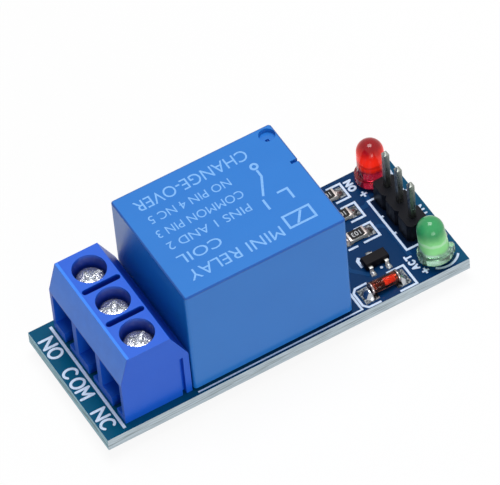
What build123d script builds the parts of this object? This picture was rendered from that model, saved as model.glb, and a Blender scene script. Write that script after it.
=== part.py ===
"""Relay module board: a narrow board with a three-way screw terminal, a sealed relay,
a three-pin header, two lamps and the small surface parts that drive the relay.

Sizes are in millimetres. X runs along the board from the screw terminal to the header,
Y across it, and Z up. The module stands on its pin tips at Z = 0.
"""

import os
from math import cos, radians, sin, sqrt

from build123d import *

os.makedirs("parts", exist_ok=True)

# Board
board_thickness = 1.6
standing_tail = 1.5  # terminal and header pins reach this far below the board
trimmed_tail = 1.2  # relay and lamp leads are cut shorter
board_bottom = standing_tail
board_top = board_bottom + board_thickness

# Screw terminal housing, heights measured from the board's top face
ways = 3
terminal_pitch = 5.0
terminal_setback = 2.69  # board end to housing front
terminal_depth = 8.0
terminal_width = 15.2
terminal_height = 10.0
front_wall_height = 6.45
front_slope_run = 1.0
rear_slope_run = 1.9
rear_wall_height = 6.35
screw_setback = 3.7  # housing front to screw axis
well_radius = 1.87
entry_width = 4.1
entry_top = 6.0
sill_height = 1.4
notch_width = 1.0
foot_width = 1.2
foot_height = 0.8
top_slot_length = 4.35
top_slot_width = 0.55
top_slot_depth = 1.2
groove_width = 0.45
groove_height = 6.0
groove_depth = 0.6
groove_from_rear = 0.92
tongue_play = 0.08
housing_edge = 0.18

# Clamp screw, rising cage and contact strip
screw_head_radius = 1.55
screw_head_rim = 1.4
screw_dome = 0.4
screw_sink = 1.2  # housing top down to the head's crown
shank_radius = 1.2
thread_play = 0.05
drive_slot_width = 0.55
drive_cross_length = 2.1
drive_depth = 0.55
cage_depth = 3.4
cage_width = 3.6
cage_side_wall = 0.45
cage_top_plate = 0.8
cage_bottom_plate = 0.7
cage_travel = 1.9
cage_play = 0.1
seat_gap = 0.05
strip_thickness = 0.6
strip_width = 2.5
strip_shoulder = 0.3  # height at which the strip narrows to its pin
terminal_pin_width = 1.0
terminal_hole_radius = 0.65

# Relay case
relay_length = 19.2
relay_width = 15.5
relay_height = 15.3
relay_gap = 0.17  # terminal housing to relay case
relay_y = -0.1
case_wall = 0.8
case_roof = 0.9
case_corner = 0.35
case_top_edge = 0.12
case_rim_lift = 0.3
base_height = 1.6
base_play = 0.03
base_foot_size = 1.0
vent_radius = 0.9
vent_depth = 0.3
vent_inset_x = 1.06
vent_inset_y = 1.24
dimple_radius = 0.28
dimple_shift = 0.38
mark_length = 0.9
mark_width = 0.35
mark_y = 1.8
mark_depth = 0.25

# Relay pin pattern, from the ends and sides of the case
com_pin_inset = 2.5
coil_pin_inset = 4.5
throw_pin_inset = 2.5
outer_pin_inset = 1.75
works_headroom = 0.5  # case roof down to the upper contact's arm
coil_pin_size = 0.6
throw_pin_thickness = 0.4
throw_pin_width = 1.0
relay_hole_radius = 0.65

# Relay works
yoke_thickness = 1.0
yoke_side_gap = 1.4  # coil pin to the yoke's side
yoke_inset = 3.2  # case end to the yoke's back
yoke_foot_overhang = 0.5  # yoke foot beyond the bobbin flange
yoke_flange_gap = 0.3
core_radius = 1.6
pole_radius = 2.7
pole_thickness = 0.7
flange_thickness = 0.6
flange_overhang = 0.1  # bobbin flange beyond the winding along X, and beyond the yoke across
spool_wall = 0.45
winding_inset = 0.2  # yoke's side face in to the winding
armature_thickness = 1.0
armature_inset = 0.3  # yoke's side face in to the armature's
armature_short = 3.2  # armature's end to the contact's middle
armature_tail = 0.4
hinge_inset = 0.5  # yoke back to the hinge line
armature_lift = 3.47  # degrees open at rest
blade_thickness = 0.2
blade_width = 5.0
blade_tip_width = 3.4
blade_start = 1.0
contact_radius = 1.3
contact_height = 0.4
contact_gap = 0.05
arm_thickness = 0.3
arm_width = 2.8
arm_past_centre = 1.6
hinge_leaf_height = 6.0
com_strip_height = 8.0
coil_pin_height = 3.0
rivet_radius = 0.55
rivet_height = 0.25
small_sides = 12  # faces round a rivet or a dimple

# Pin header
pins = 3
header_pitch = 2.54
header_end_inset = 2.965  # board end to the pin row
header_body_height = 2.5
header_chamfer = 0.4
header_pin_size = 0.64
header_pin_top = 7.94
header_pin_tip = 0.22
header_tip_length = 0.35
header_hole_radius = 0.5

# Lamps: inset from the board's end, gaps across, and the lean of each lens as run over rise
lamp_end_inset = 2.88
lamp_edge_gap = 0.12  # lens flange to the board's long edge
power_header_gap = 0.11
switch_header_gap = 1.23
lamp_leans = {
    "power_led": (1, 0.02, 0.10),
    "switch_led": (-1, -0.03, 0.19),
}
lens_flange_radius = 1.95
lens_flange_height = 0.9
lens_foot_radius = 1.62
lens_shoulder_radius = 1.5
lens_shoulder_height = 3.85
lens_flat = 0.35
lens_nub_radius = 0.42
lens_nubs = {"switch_led": (1.55, -0.75)}  # moulding nub, from the lens axis
lamp_lift = 0.15
lead_spacing = 2.54
lead_size = 0.5
anode_post_height = 2.3
cathode_post_height = 2.6
cup_radius = 0.62
lead_hole_radius = 0.45

# Lane of small parts between the relay and the board's header end
parts_lane_width = 13.94

# Chip resistors
resistors = 3
resistor_lane_inset = 5.49  # relay case to the chips' middle
resistor_side_inset = 1.75
resistor_pitch = 3.08
chip_length = 2.0
chip_width = 1.25
chip_height = 0.5
chip_cap_length = 0.4
chip_cap_thickness = 0.05
chip_solder_run = 0.95
chip_solder_rise = 0.45
chip_solder_width = 1.35

# Transistor
transistor_lane_inset = 5.34
transistor_side_inset = 5.05
transistor_length = 2.9
transistor_width = 1.3
transistor_height = 1.0
transistor_lift = 0.1
transistor_taper = 7.0
transistor_pitch = 1.9
wing_thickness = 0.12
wing_width = 0.42
wing_reach = 1.2
wing_drop_x = 0.85
wing_solder_run = 0.35

# Glass diode
diode_lane_inset = 4.44
diode_side_inset = 1.7
diode_length = 3.5
diode_cap_radius = 0.75
diode_cap_length = 0.6
diode_glass_radius = 0.72
diode_bore_radius = 0.5
plunger_radius = 0.42
diode_solder_run = 0.9
diode_solder_width = 2.0

# Solder joints under the board
solder_climb = 0.9
solder_skirt = 0.35  # past the hole's edge
solder_sides = 10
solder_taper = 16.0

# Levels and places worked out from the sizes above
board_length = (
    terminal_setback + terminal_depth + relay_gap + relay_length + parts_lane_width
)
header_width = pins * header_pitch
lamp_side_inset = lens_flange_radius + lamp_edge_gap
board_width = (
    2 * (lamp_side_inset + lens_flange_radius)
    + power_header_gap
    + header_width
    + switch_header_gap
)
header_y = (switch_header_gap - power_header_gap) / 2
terminal_front = -board_length / 2 + terminal_setback
terminal_rear = terminal_front + terminal_depth
terminal_roof = board_top + terminal_height
screw_x = terminal_front + screw_setback
way_ys = [terminal_pitch * ((ways - 1) / 2 - i) for i in range(ways)]
head_top = terminal_roof - screw_sink
head_under = head_top - screw_dome - screw_head_rim
cage_top = head_under - seat_gap
cage_window_top = cage_top - cage_top_plate
strip_top = cage_window_top - cage_travel - seat_gap
strip_under = strip_top - strip_thickness
cage_floor_top = strip_under - seat_gap
cage_bottom = cage_floor_top - cage_bottom_plate
cage_height = cage_top - cage_bottom
cavity_front = screw_x - cage_depth / 2 - cage_play
strip_front = screw_x - cage_depth / 2 + strip_thickness
strip_rear = screw_x + cage_depth / 2 + 2 * cage_play + strip_thickness
cavity_rear = strip_rear + cage_play
cavity_roof = cage_top + cage_play
terminal_pin_x = strip_rear - strip_thickness / 2

relay_x = terminal_rear + relay_gap + relay_length / 2
relay_end = relay_x + relay_length / 2
base_top = board_top + case_rim_lift + base_height
case_top = board_top + relay_height
yoke_foot_top = base_top + yoke_thickness
com_pin_x = relay_length / 2 - com_pin_inset
coil_pin_x = relay_length / 2 - coil_pin_inset
throw_pin_x = throw_pin_inset - relay_length / 2
outer_pin_y = relay_width / 2 - outer_pin_inset
yoke_width = 2 * (outer_pin_y - coil_pin_size / 2 - yoke_side_gap)
yoke_back_x = relay_length / 2 - yoke_inset
winding_radius = yoke_width / 2 - winding_inset
flange_length = 2 * (winding_radius + flange_overhang)
flange_width = yoke_width + 2 * flange_overhang
core_x = yoke_back_x - yoke_thickness - yoke_flange_gap - flange_length / 2
yoke_foot_length = yoke_back_x - core_x + flange_length / 2 + yoke_foot_overhang
hinge_x = relay_x + yoke_back_x - hinge_inset
lift = radians(armature_lift)
blade_contact_reach = hinge_x - (relay_x + throw_pin_x)
armature_reach = blade_contact_reach - armature_short
contact_rise = (blade_contact_reach + contact_radius) * sin(lift)
contact_top_face = armature_thickness + blade_thickness + contact_height
contact_under_face = armature_thickness - contact_height
nc_face = case_top - case_roof - works_headroom - arm_thickness - contact_height
hinge_z = nc_face - contact_gap - contact_top_face - contact_rise
pole_face = hinge_z - contact_gap
no_face = hinge_z + contact_under_face - contact_gap
armature_width = yoke_width - 2 * armature_inset

relay_pins = {
    "com": (relay_x + com_pin_x, relay_y),
    "coil_rear": (relay_x + coil_pin_x, relay_y + outer_pin_y),
    "coil_front": (relay_x + coil_pin_x, relay_y - outer_pin_y),
    "normally_open": (relay_x + throw_pin_x, relay_y + outer_pin_y),
    "normally_closed": (relay_x + throw_pin_x, relay_y - outer_pin_y),
}
relay_pin_sections = {
    "com": (throw_pin_thickness, throw_pin_width),
    "coil_rear": (coil_pin_size, coil_pin_size),
    "coil_front": (coil_pin_size, coil_pin_size),
    "normally_open": (throw_pin_width, throw_pin_thickness),
    "normally_closed": (throw_pin_width, throw_pin_thickness),
}
header_x = board_length / 2 - header_end_inset
header_ys = [header_y + header_pitch * ((pins - 1) / 2 - i) for i in range(pins)]
terminal_spots = [(terminal_pin_x, y) for y in way_ys]
header_spots = [(header_x, y) for y in header_ys]
lamp_places = {
    name: (
        board_length / 2 - lamp_end_inset,
        edge * (board_width / 2 - lamp_side_inset),
        lean_x,
        lean_y,
    )
    for name, (edge, lean_x, lean_y) in lamp_leans.items()
}
lamp_spots = [
    (x + side * lead_spacing / 2, y)
    for x, y, _, _ in lamp_places.values()
    for side in (-1, 1)
]
resistor_x = relay_end + resistor_lane_inset
resistor_ys = [
    board_width / 2 - resistor_side_inset - i * resistor_pitch for i in range(resistors)
]
transistor_x = relay_end + transistor_lane_inset
transistor_y = -board_width / 2 + transistor_side_inset
diode_x = relay_end + diode_lane_inset
diode_y = -board_width / 2 + diode_side_inset

on_base = (Align.CENTER, Align.CENTER, Align.MIN)


def side_plane(y):
    """Upright plane at this Y, with X to the right and Z up."""
    return Plane.XZ.offset(-y)


def end_plane(x):
    """Upright plane at this X, with Y to the right and Z up."""
    return Plane.YZ.offset(x)


# Board, with a drilled hole for each lead
with BuildPart() as pcb:
    with BuildSketch(Plane.XY.offset(board_bottom)):
        Rectangle(board_length, board_width)
    extrude(amount=board_thickness)
    with Locations(*[(x, y, board_top) for x, y in terminal_spots]):
        Hole(terminal_hole_radius)
    with Locations(*[(x, y, board_top) for x, y in relay_pins.values()]):
        Hole(relay_hole_radius)
    with Locations(*[(x, y, board_top) for x, y in header_spots]):
        Hole(header_hole_radius)
    with Locations(*[(x, y, board_top) for x, y in lamp_spots]):
        Hole(lead_hole_radius)

pcb.part.label = "pcb"
export_step(pcb.part, "parts/pcb.step")

# Screw terminal housing: one moulding with a cavity, a well and an entry for each way
with BuildPart() as terminal_housing:
    with BuildSketch(side_plane(0)) as side_profile:
        with BuildLine():
            Polyline(
                (terminal_front, board_top),
                (terminal_front, board_top + front_wall_height),
                (terminal_front + front_slope_run, terminal_roof),
                (terminal_rear - rear_slope_run, terminal_roof),
                (terminal_rear, board_top + rear_wall_height),
                (terminal_rear, board_top),
                close=True,
            )
        make_face()
        fillet(side_profile.vertices().group_by(Axis.Z)[1:], radius=housing_edge)
    extrude(amount=terminal_width / 2, both=True)
    with BuildSketch(Plane.XY.offset(board_top)):
        with Locations(*[((cavity_front + cavity_rear) / 2, y) for y in way_ys]):
            Rectangle(cavity_rear - cavity_front, cage_width + 2 * cage_play)
    extrude(amount=cavity_roof - board_top, mode=Mode.SUBTRACT)
    with BuildSketch(Plane.XY.offset(terminal_roof)):
        with Locations(*[(screw_x, y) for y in way_ys]):
            Circle(well_radius)
    extrude(amount=cavity_roof - terminal_roof, mode=Mode.SUBTRACT)
    with BuildSketch(end_plane(terminal_front)):
        entry_middle = board_top + (entry_top + sill_height) / 2
        with Locations(*[(y, entry_middle) for y in way_ys]):
            Rectangle(entry_width, entry_top - sill_height)
        notch_shift = -entry_width / 2 + foot_width + notch_width / 2
        with Locations(*[(y + notch_shift, board_top + sill_height / 2) for y in way_ys]):
            Rectangle(notch_width, sill_height)
        foot_shift = -entry_width / 2 + foot_width / 2
        foot_cut_middle = board_top + (foot_height + sill_height) / 2
        with Locations(*[(y + foot_shift, foot_cut_middle) for y in way_ys]):
            Rectangle(foot_width, sill_height - foot_height)
    extrude(amount=cavity_front - terminal_front, mode=Mode.SUBTRACT)
    with BuildSketch(Plane.XY.offset(terminal_roof)):
        with Locations(*[(screw_x, (a + b) / 2) for a, b in zip(way_ys, way_ys[1:])]):
            SlotOverall(top_slot_length, top_slot_width)
    extrude(amount=-top_slot_depth, mode=Mode.SUBTRACT)
    groove_x = terminal_rear - groove_from_rear
    with BuildSketch(side_plane(-terminal_width / 2)):
        with Locations((groove_x, board_top + groove_height / 2)):
            Rectangle(groove_width, groove_height)
    extrude(amount=-groove_depth, mode=Mode.SUBTRACT)
    with BuildSketch(side_plane(terminal_width / 2)):
        with Locations((groove_x, board_top + groove_height / 2)):
            Rectangle(groove_width - 2 * tongue_play, groove_height)
    extrude(amount=-(groove_depth - tongue_play))

terminal_housing.part.label = "terminal_housing"
export_step(terminal_housing.part, "parts/terminal_housing.step")

# Each way of the terminal: a contact strip, a rising cage and its captive screw
for number, way_y in enumerate(way_ys, start=1):
    with BuildPart() as terminal_contact:
        with BuildSketch(side_plane(way_y)):
            with BuildLine():
                Polyline(
                    (strip_front, strip_top),
                    (strip_rear, strip_top),
                    (strip_rear, board_top + strip_shoulder),
                    (strip_rear - strip_thickness, board_top + strip_shoulder),
                    (strip_rear - strip_thickness, strip_under),
                    (strip_front, strip_under),
                    close=True,
                )
            make_face()
        extrude(amount=strip_width / 2, both=True)
        with BuildSketch(Plane.XY):
            with Locations((terminal_pin_x, way_y)):
                Rectangle(strip_thickness, terminal_pin_width)
        extrude(amount=board_top + strip_shoulder)
    terminal_contact.part.label = f"terminal_contact_{number}"
    export_step(terminal_contact.part, f"parts/terminal_contact_{number}.step")

    with BuildPart() as terminal_cage:
        with BuildSketch(Plane.XY.offset(cage_bottom)):
            with Locations((screw_x, way_y)):
                Rectangle(cage_depth, cage_width)
        extrude(amount=cage_height)
        chamfer(terminal_cage.edges().filter_by(Axis.X), length=cage_side_wall / 2)
        with BuildSketch(end_plane(screw_x)):
            with Locations((way_y, (cage_floor_top + cage_window_top) / 2)):
                Rectangle(cage_width - 2 * cage_side_wall, cage_window_top - cage_floor_top)
        extrude(amount=cage_depth / 2, both=True, mode=Mode.SUBTRACT)
        with BuildSketch(Plane.XY.offset(cage_top)):
            with Locations((screw_x, way_y)):
                Circle(shank_radius + thread_play)
        extrude(amount=-cage_top_plate, mode=Mode.SUBTRACT)
    terminal_cage.part.label = f"terminal_cage_{number}"
    export_step(terminal_cage.part, f"parts/terminal_cage_{number}.step")

    with BuildPart() as terminal_screw:
        screw_axis = Axis((screw_x, way_y, 0), (0, 0, 1))
        rim_top = head_top - screw_dome
        with BuildSketch(side_plane(way_y)):
            with BuildLine():
                Polyline(
                    (screw_x, head_top),
                    (screw_x, strip_top + seat_gap),
                    (screw_x + shank_radius, strip_top + seat_gap),
                    (screw_x + shank_radius, head_under),
                    (screw_x + screw_head_radius, head_under),
                    (screw_x + screw_head_radius, rim_top),
                    (screw_x + screw_head_radius - 2 * screw_dome, head_top),
                    close=True,
                )
            make_face()
        revolve(axis=screw_axis)
        with BuildSketch(Plane.XY.offset(head_top)):
            with Locations((screw_x, way_y)):
                Rectangle(2 * screw_head_radius, drive_slot_width)
                Rectangle(drive_slot_width, drive_cross_length)
        extrude(amount=-drive_depth, mode=Mode.SUBTRACT)
    terminal_screw.part.label = f"terminal_screw_{number}"
    export_step(terminal_screw.part, f"parts/terminal_screw_{number}.step")

# Relay case: a five-sided cover over a moulded base
with BuildPart() as relay_cover:
    with BuildSketch(Plane.XY.offset(board_top + case_rim_lift)):
        with Locations((relay_x, relay_y)):
            RectangleRounded(relay_length, relay_width, case_corner)
    extrude(amount=relay_height - case_rim_lift)
    chamfer(relay_cover.faces().sort_by(Axis.Z)[-1].edges(), length=case_top_edge)
    with BuildSketch(Plane.XY.offset(board_top + case_rim_lift)):
        with Locations((relay_x, relay_y)):
            Rectangle(relay_length - 2 * case_wall, relay_width - 2 * case_wall)
    extrude(amount=relay_height - case_rim_lift - case_roof, mode=Mode.SUBTRACT)
    vent_x = relay_x + relay_length / 2 - vent_inset_x
    vent_y = relay_y + relay_width / 2 - vent_inset_y
    with BuildSketch(Plane.XY.offset(case_top)):
        with Locations((vent_x, vent_y)):
            Circle(vent_radius)
        with Locations((relay_x + relay_length / 2 - mark_length / 2, mark_y)):
            Rectangle(mark_length, mark_width)
    extrude(amount=-vent_depth, mode=Mode.SUBTRACT)
    with BuildSketch(Plane.XY.offset(case_top - vent_depth)):
        with Locations((vent_x, vent_y - dimple_shift)):
            RegularPolygon(dimple_radius, small_sides)
    extrude(amount=-mark_depth, mode=Mode.SUBTRACT)

relay_cover.part.label = "relay_cover"
export_step(relay_cover.part, "parts/relay_cover.step")

with BuildPart() as relay_base:
    base_length = relay_length - 2 * (case_wall + base_play)
    base_width = relay_width - 2 * (case_wall + base_play)
    with BuildSketch(Plane.XY.offset(board_top + case_rim_lift)):
        with Locations((relay_x, relay_y)):
            Rectangle(base_length, base_width)
    extrude(amount=base_height)
    with BuildSketch(Plane.XY.offset(board_top)):
        with Locations((relay_x, relay_y)):
            with GridLocations(base_length - base_foot_size, base_width - base_foot_size, 2, 2):
                Rectangle(base_foot_size, base_foot_size)
    extrude(amount=case_rim_lift)
    with BuildSketch(Plane.XY.offset(base_top)):
        for pin, spot in relay_pins.items():
            with Locations(spot):
                Rectangle(*relay_pin_sections[pin])
    extrude(amount=-base_height, mode=Mode.SUBTRACT)

relay_base.part.label = "relay_base"
export_step(relay_base.part, "parts/relay_base.step")

# Relay works: yoke, core, bobbin and winding
yoke_back = relay_x + yoke_back_x
pole_x = relay_x + core_x
with BuildPart() as relay_yoke:
    with BuildSketch(side_plane(relay_y)):
        with BuildLine():
            Polyline(
                (yoke_back, base_top),
                (yoke_back, pole_face),
                (yoke_back - yoke_thickness, pole_face),
                (yoke_back - yoke_thickness, yoke_foot_top),
                (yoke_back - yoke_foot_length, yoke_foot_top),
                (yoke_back - yoke_foot_length, base_top),
                close=True,
            )
        make_face()
    extrude(amount=yoke_width / 2, both=True)

relay_yoke.part.label = "relay_yoke"
export_step(relay_yoke.part, "parts/relay_yoke.step")

with BuildPart() as relay_core:
    with BuildSketch(Plane.XY.offset(yoke_foot_top)):
        with Locations((pole_x, relay_y)):
            Circle(core_radius)
    extrude(amount=pole_face - yoke_foot_top)
    with BuildSketch(Plane.XY.offset(pole_face)):
        with Locations((pole_x, relay_y)):
            Circle(pole_radius)
    extrude(amount=-pole_thickness)

relay_core.part.label = "relay_core"
export_step(relay_core.part, "parts/relay_core.step")

spool_bottom = yoke_foot_top + contact_gap
spool_top = pole_face - pole_thickness - contact_gap
spool_bore = core_radius + contact_gap
with BuildPart() as relay_bobbin:
    for level in (spool_bottom, spool_top - flange_thickness):
        with BuildSketch(Plane.XY.offset(level)):
            with Locations((pole_x, relay_y)):
                Rectangle(flange_length, flange_width)
        extrude(amount=flange_thickness)
    with BuildSketch(Plane.XY.offset(spool_bottom)):
        with Locations((pole_x, relay_y)):
            Circle(spool_bore + spool_wall)
    extrude(amount=spool_top - spool_bottom)
    with Locations((pole_x, relay_y, spool_top)):
        Hole(spool_bore)

relay_bobbin.part.label = "relay_bobbin"
export_step(relay_bobbin.part, "parts/relay_bobbin.step")

with BuildPart() as relay_coil:
    with BuildSketch(Plane.XY.offset(spool_bottom + flange_thickness)):
        with Locations((pole_x, relay_y)):
            Circle(winding_radius)
            Circle(spool_bore + spool_wall, mode=Mode.SUBTRACT)
    extrude(amount=spool_top - spool_bottom - 2 * flange_thickness)

relay_coil.part.label = "relay_coil"
export_step(relay_coil.part, "parts/relay_coil.step")

# Armature and its contact blade, drawn in a plane that leans open about the hinge line
armature_plane = Plane(
    origin=(hinge_x, relay_y, hinge_z),
    x_dir=(-cos(lift), 0, sin(lift)),
    z_dir=(sin(lift), 0, cos(lift)),
)
armature_middle = (armature_reach - armature_tail) / 2
with BuildPart() as relay_armature:
    with BuildSketch(armature_plane):
        with Locations((armature_middle, 0)):
            Rectangle(armature_reach + armature_tail, armature_width)
    extrude(amount=armature_thickness)

relay_armature.part.label = "relay_armature"
export_step(relay_armature.part, "parts/relay_armature.step")

with BuildPart() as relay_contact_blade:
    with BuildSketch(armature_plane.offset(armature_thickness)):
        with Locations(((blade_start + armature_reach) / 2, 0)):
            Rectangle(armature_reach - blade_start, blade_width)
        with Locations(((blade_start + blade_contact_reach) / 2, 0)):
            Rectangle(blade_contact_reach - blade_start, blade_tip_width)
        with Locations((blade_contact_reach, 0)):
            Circle(blade_tip_width / 2)
    extrude(amount=blade_thickness)
    with BuildSketch(armature_plane.offset(contact_under_face)):
        with Locations((blade_contact_reach, 0)):
            Circle(contact_radius)
    extrude(amount=contact_top_face - contact_under_face)
    with BuildSketch(armature_plane.offset(armature_thickness + blade_thickness)):
        with Locations((armature_middle, 0)):
            with GridLocations(blade_width / 2, 0, 2, 1):
                RegularPolygon(rivet_radius, small_sides)
    extrude(amount=rivet_height)

relay_contact_blade.part.label = "relay_contact_blade"
export_step(relay_contact_blade.part, "parts/relay_contact_blade.step")

# Fixed contacts: an upright strip from each pin with an arm that reaches over the middle
fixed_contacts = {
    "relay_no_contact": (relay_pins["normally_open"], no_face, -1),
    "relay_nc_contact": (relay_pins["normally_closed"], nc_face, 1),
}
for name, ((pin_x, pin_y), face, side) in fixed_contacts.items():
    arm_level = face + side * contact_height
    arm_bottom = min(arm_level, arm_level + side * arm_thickness)
    inward = 1 if pin_y < relay_y else -1
    arm_start = pin_y - inward * throw_pin_thickness / 2
    arm_end = relay_y + inward * arm_past_centre
    with BuildPart() as fixed_contact:
        with BuildSketch(Plane.XY.offset(board_bottom - trimmed_tail)):
            with Locations((pin_x, pin_y)):
                Rectangle(throw_pin_width, throw_pin_thickness)
        extrude(amount=base_top - board_bottom + trimmed_tail)
        with BuildSketch(Plane.XY.offset(base_top)):
            with Locations((pin_x, pin_y)):
                Rectangle(arm_width, throw_pin_thickness)
        extrude(amount=arm_bottom + arm_thickness - base_top)
        with BuildSketch(Plane.XY.offset(arm_bottom)):
            with Locations((pin_x, (arm_start + arm_end) / 2)):
                Rectangle(arm_width, abs(arm_end - arm_start))
        extrude(amount=arm_thickness)
        with BuildSketch(Plane.XY.offset(face)):
            with Locations((pin_x, relay_y)):
                Circle(contact_radius)
        extrude(amount=side * contact_height)
    fixed_contact.part.label = name
    export_step(fixed_contact.part, f"parts/{name}.step")

com_x, com_y = relay_pins["com"]
with BuildPart() as relay_com_terminal:
    with BuildSketch(Plane.XY.offset(board_bottom - trimmed_tail)):
        with Locations((com_x, com_y)):
            Rectangle(throw_pin_thickness, throw_pin_width)
    extrude(amount=base_top - board_bottom + trimmed_tail)
    with BuildSketch(Plane.XY.offset(base_top)):
        with Locations((com_x, com_y)):
            Rectangle(throw_pin_thickness, blade_width)
    extrude(amount=com_strip_height)

relay_com_terminal.part.label = "relay_com_terminal"
export_step(relay_com_terminal.part, "parts/relay_com_terminal.step")

leaf_front = yoke_back + contact_gap
leaf_back = com_x - throw_pin_thickness / 2
leaf_turn_z = hinge_z + armature_thickness
leaf_turn_radius = leaf_back - hinge_x
with BuildPart() as relay_hinge_leaf:
    with BuildSketch(side_plane(relay_y)):
        with BuildLine():
            Line((leaf_back, leaf_turn_z), (leaf_back, leaf_turn_z - hinge_leaf_height))
            Line(
                (leaf_back, leaf_turn_z - hinge_leaf_height),
                (leaf_back - blade_thickness, leaf_turn_z - hinge_leaf_height),
            )
            Line(
                (leaf_back - blade_thickness, leaf_turn_z - hinge_leaf_height),
                (leaf_back - blade_thickness, leaf_turn_z),
            )
            inner_turn = RadiusArc(
                (leaf_back - blade_thickness, leaf_turn_z),
                (hinge_x, leaf_turn_z + leaf_turn_radius - blade_thickness),
                -(leaf_turn_radius - blade_thickness),
            )
            Line(inner_turn @ 1, (hinge_x, leaf_turn_z + leaf_turn_radius))
            RadiusArc(
                (hinge_x, leaf_turn_z + leaf_turn_radius),
                (leaf_back, leaf_turn_z),
                leaf_turn_radius,
            )
        make_face()
    extrude(amount=blade_width / 2, both=True)

relay_hinge_leaf.part.label = "relay_hinge_leaf"
export_step(relay_hinge_leaf.part, "parts/relay_hinge_leaf.step")

with BuildPart() as relay_coil_pins:
    with BuildSketch(Plane.XY.offset(board_bottom - trimmed_tail)):
        with Locations(relay_pins["coil_rear"], relay_pins["coil_front"]):
            Rectangle(coil_pin_size, coil_pin_size)
    extrude(amount=base_top + coil_pin_height - board_bottom + trimmed_tail)

relay_coil_pins.part.label = "relay_coil_pins"
export_step(relay_coil_pins.part, "parts/relay_coil_pins.step")

# Pin header: one moulding with a notch at each side between its cells
notch_side = header_chamfer * sqrt(2)
with BuildPart() as header_body:
    with BuildSketch(Plane.XY.offset(board_top)):
        with Locations((header_x, header_y)):
            Rectangle(header_pitch, header_width)
            with GridLocations(header_pitch, header_pitch, 2, pins + 1):
                Rectangle(notch_side, notch_side, rotation=45, mode=Mode.SUBTRACT)
    extrude(amount=header_body_height)
    with BuildSketch(Plane.XY.offset(board_top)):
        with Locations(*header_spots):
            Rectangle(header_pin_size, header_pin_size)
    extrude(amount=header_body_height, mode=Mode.SUBTRACT)

header_body.part.label = "header_body"
export_step(header_body.part, "parts/header_body.step")

for number, (pin_x, pin_y) in enumerate(header_spots, start=1):
    with BuildPart() as header_pin:
        with BuildSketch(Plane.XY):
            with Locations((pin_x, pin_y)):
                Rectangle(header_pin_size, header_pin_size)
        extrude(amount=board_top + header_pin_top)
        tips = header_pin.faces().filter_by(Axis.Z)
        chamfer(tips.edges(), length=header_tip_length, length2=header_pin_tip)
    header_pin.part.label = f"header_pin_{number}"
    export_step(header_pin.part, f"parts/header_pin_{number}.step")

# Lamps: a moulded lens over two leads that lean with it above the board
posts = {"anode": (-1, anode_post_height), "cathode": (1, cathode_post_height)}
for name, (lamp_x, lamp_y, lean_x, lean_y) in lamp_places.items():
    seat_level = board_top + lamp_lift + lens_flange_radius * abs(lean_y)
    lens_plane = Plane(
        origin=(lamp_x, lamp_y, seat_level),
        x_dir=(1, 0, -lean_x),
        z_dir=(lean_x, lean_y, 1),
    )
    with BuildPart() as lens:
        with BuildSketch(lens_plane):
            Circle(lens_flange_radius)
            with Locations((lens_flange_radius, 0)):
                Rectangle(2 * lens_flat, 2 * lens_flange_radius, mode=Mode.SUBTRACT)
        extrude(amount=lens_flange_height)
        with Locations(lens_plane.location):
            Cone(lens_foot_radius, lens_shoulder_radius, lens_shoulder_height, align=on_base)
        with Locations(lens_plane.offset(lens_shoulder_height).location):
            Sphere(lens_shoulder_radius, arc_size1=0, align=on_base)
        if name in lens_nubs:
            with Locations(lens_plane.offset(lens_flange_height / 2).location):
                with Locations(lens_nubs[name]):
                    Cylinder(lens_nub_radius, lens_flange_height)
        with BuildSketch(lens_plane):
            for side, _ in posts.values():
                with Locations((side * lead_spacing / 2, 0)):
                    Rectangle(lead_size, lead_size)
        extrude(amount=anode_post_height, mode=Mode.SUBTRACT)
        with BuildSketch(lens_plane.offset(anode_post_height)):
            with Locations((lead_spacing / 4, 0)):
                Rectangle(lead_spacing / 2 + lead_size, 2 * cup_radius)
        extrude(amount=cathode_post_height - anode_post_height, mode=Mode.SUBTRACT)
    lens.part.label = f"{name}_lens"
    export_step(lens.part, f"parts/{name}_lens.step")

    for pole, (side, post_height) in posts.items():
        with BuildPart() as lead:
            with BuildSketch(Plane.XY.offset(board_bottom - trimmed_tail)):
                with Locations((lamp_x + side * lead_spacing / 2, lamp_y)):
                    Rectangle(lead_size, lead_size)
            extrude(amount=seat_level - lamp_lift - board_bottom + trimmed_tail)
            with BuildSketch(lens_plane.offset(-2 * lamp_lift)):
                with Locations((side * lead_spacing / 2, 0)):
                    Rectangle(lead_size, lead_size)
            extrude(amount=2 * lamp_lift + anode_post_height)
            if pole == "cathode":
                with BuildSketch(lens_plane.offset(anode_post_height)):
                    with Locations((lead_spacing / 4, 0)):
                        Rectangle(lead_spacing / 2 + lead_size, 2 * cup_radius)
                extrude(amount=post_height - anode_post_height)
        lead.part.label = f"{name}_{pole}"
        export_step(lead.part, f"parts/{name}_{pole}.step")

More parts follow.
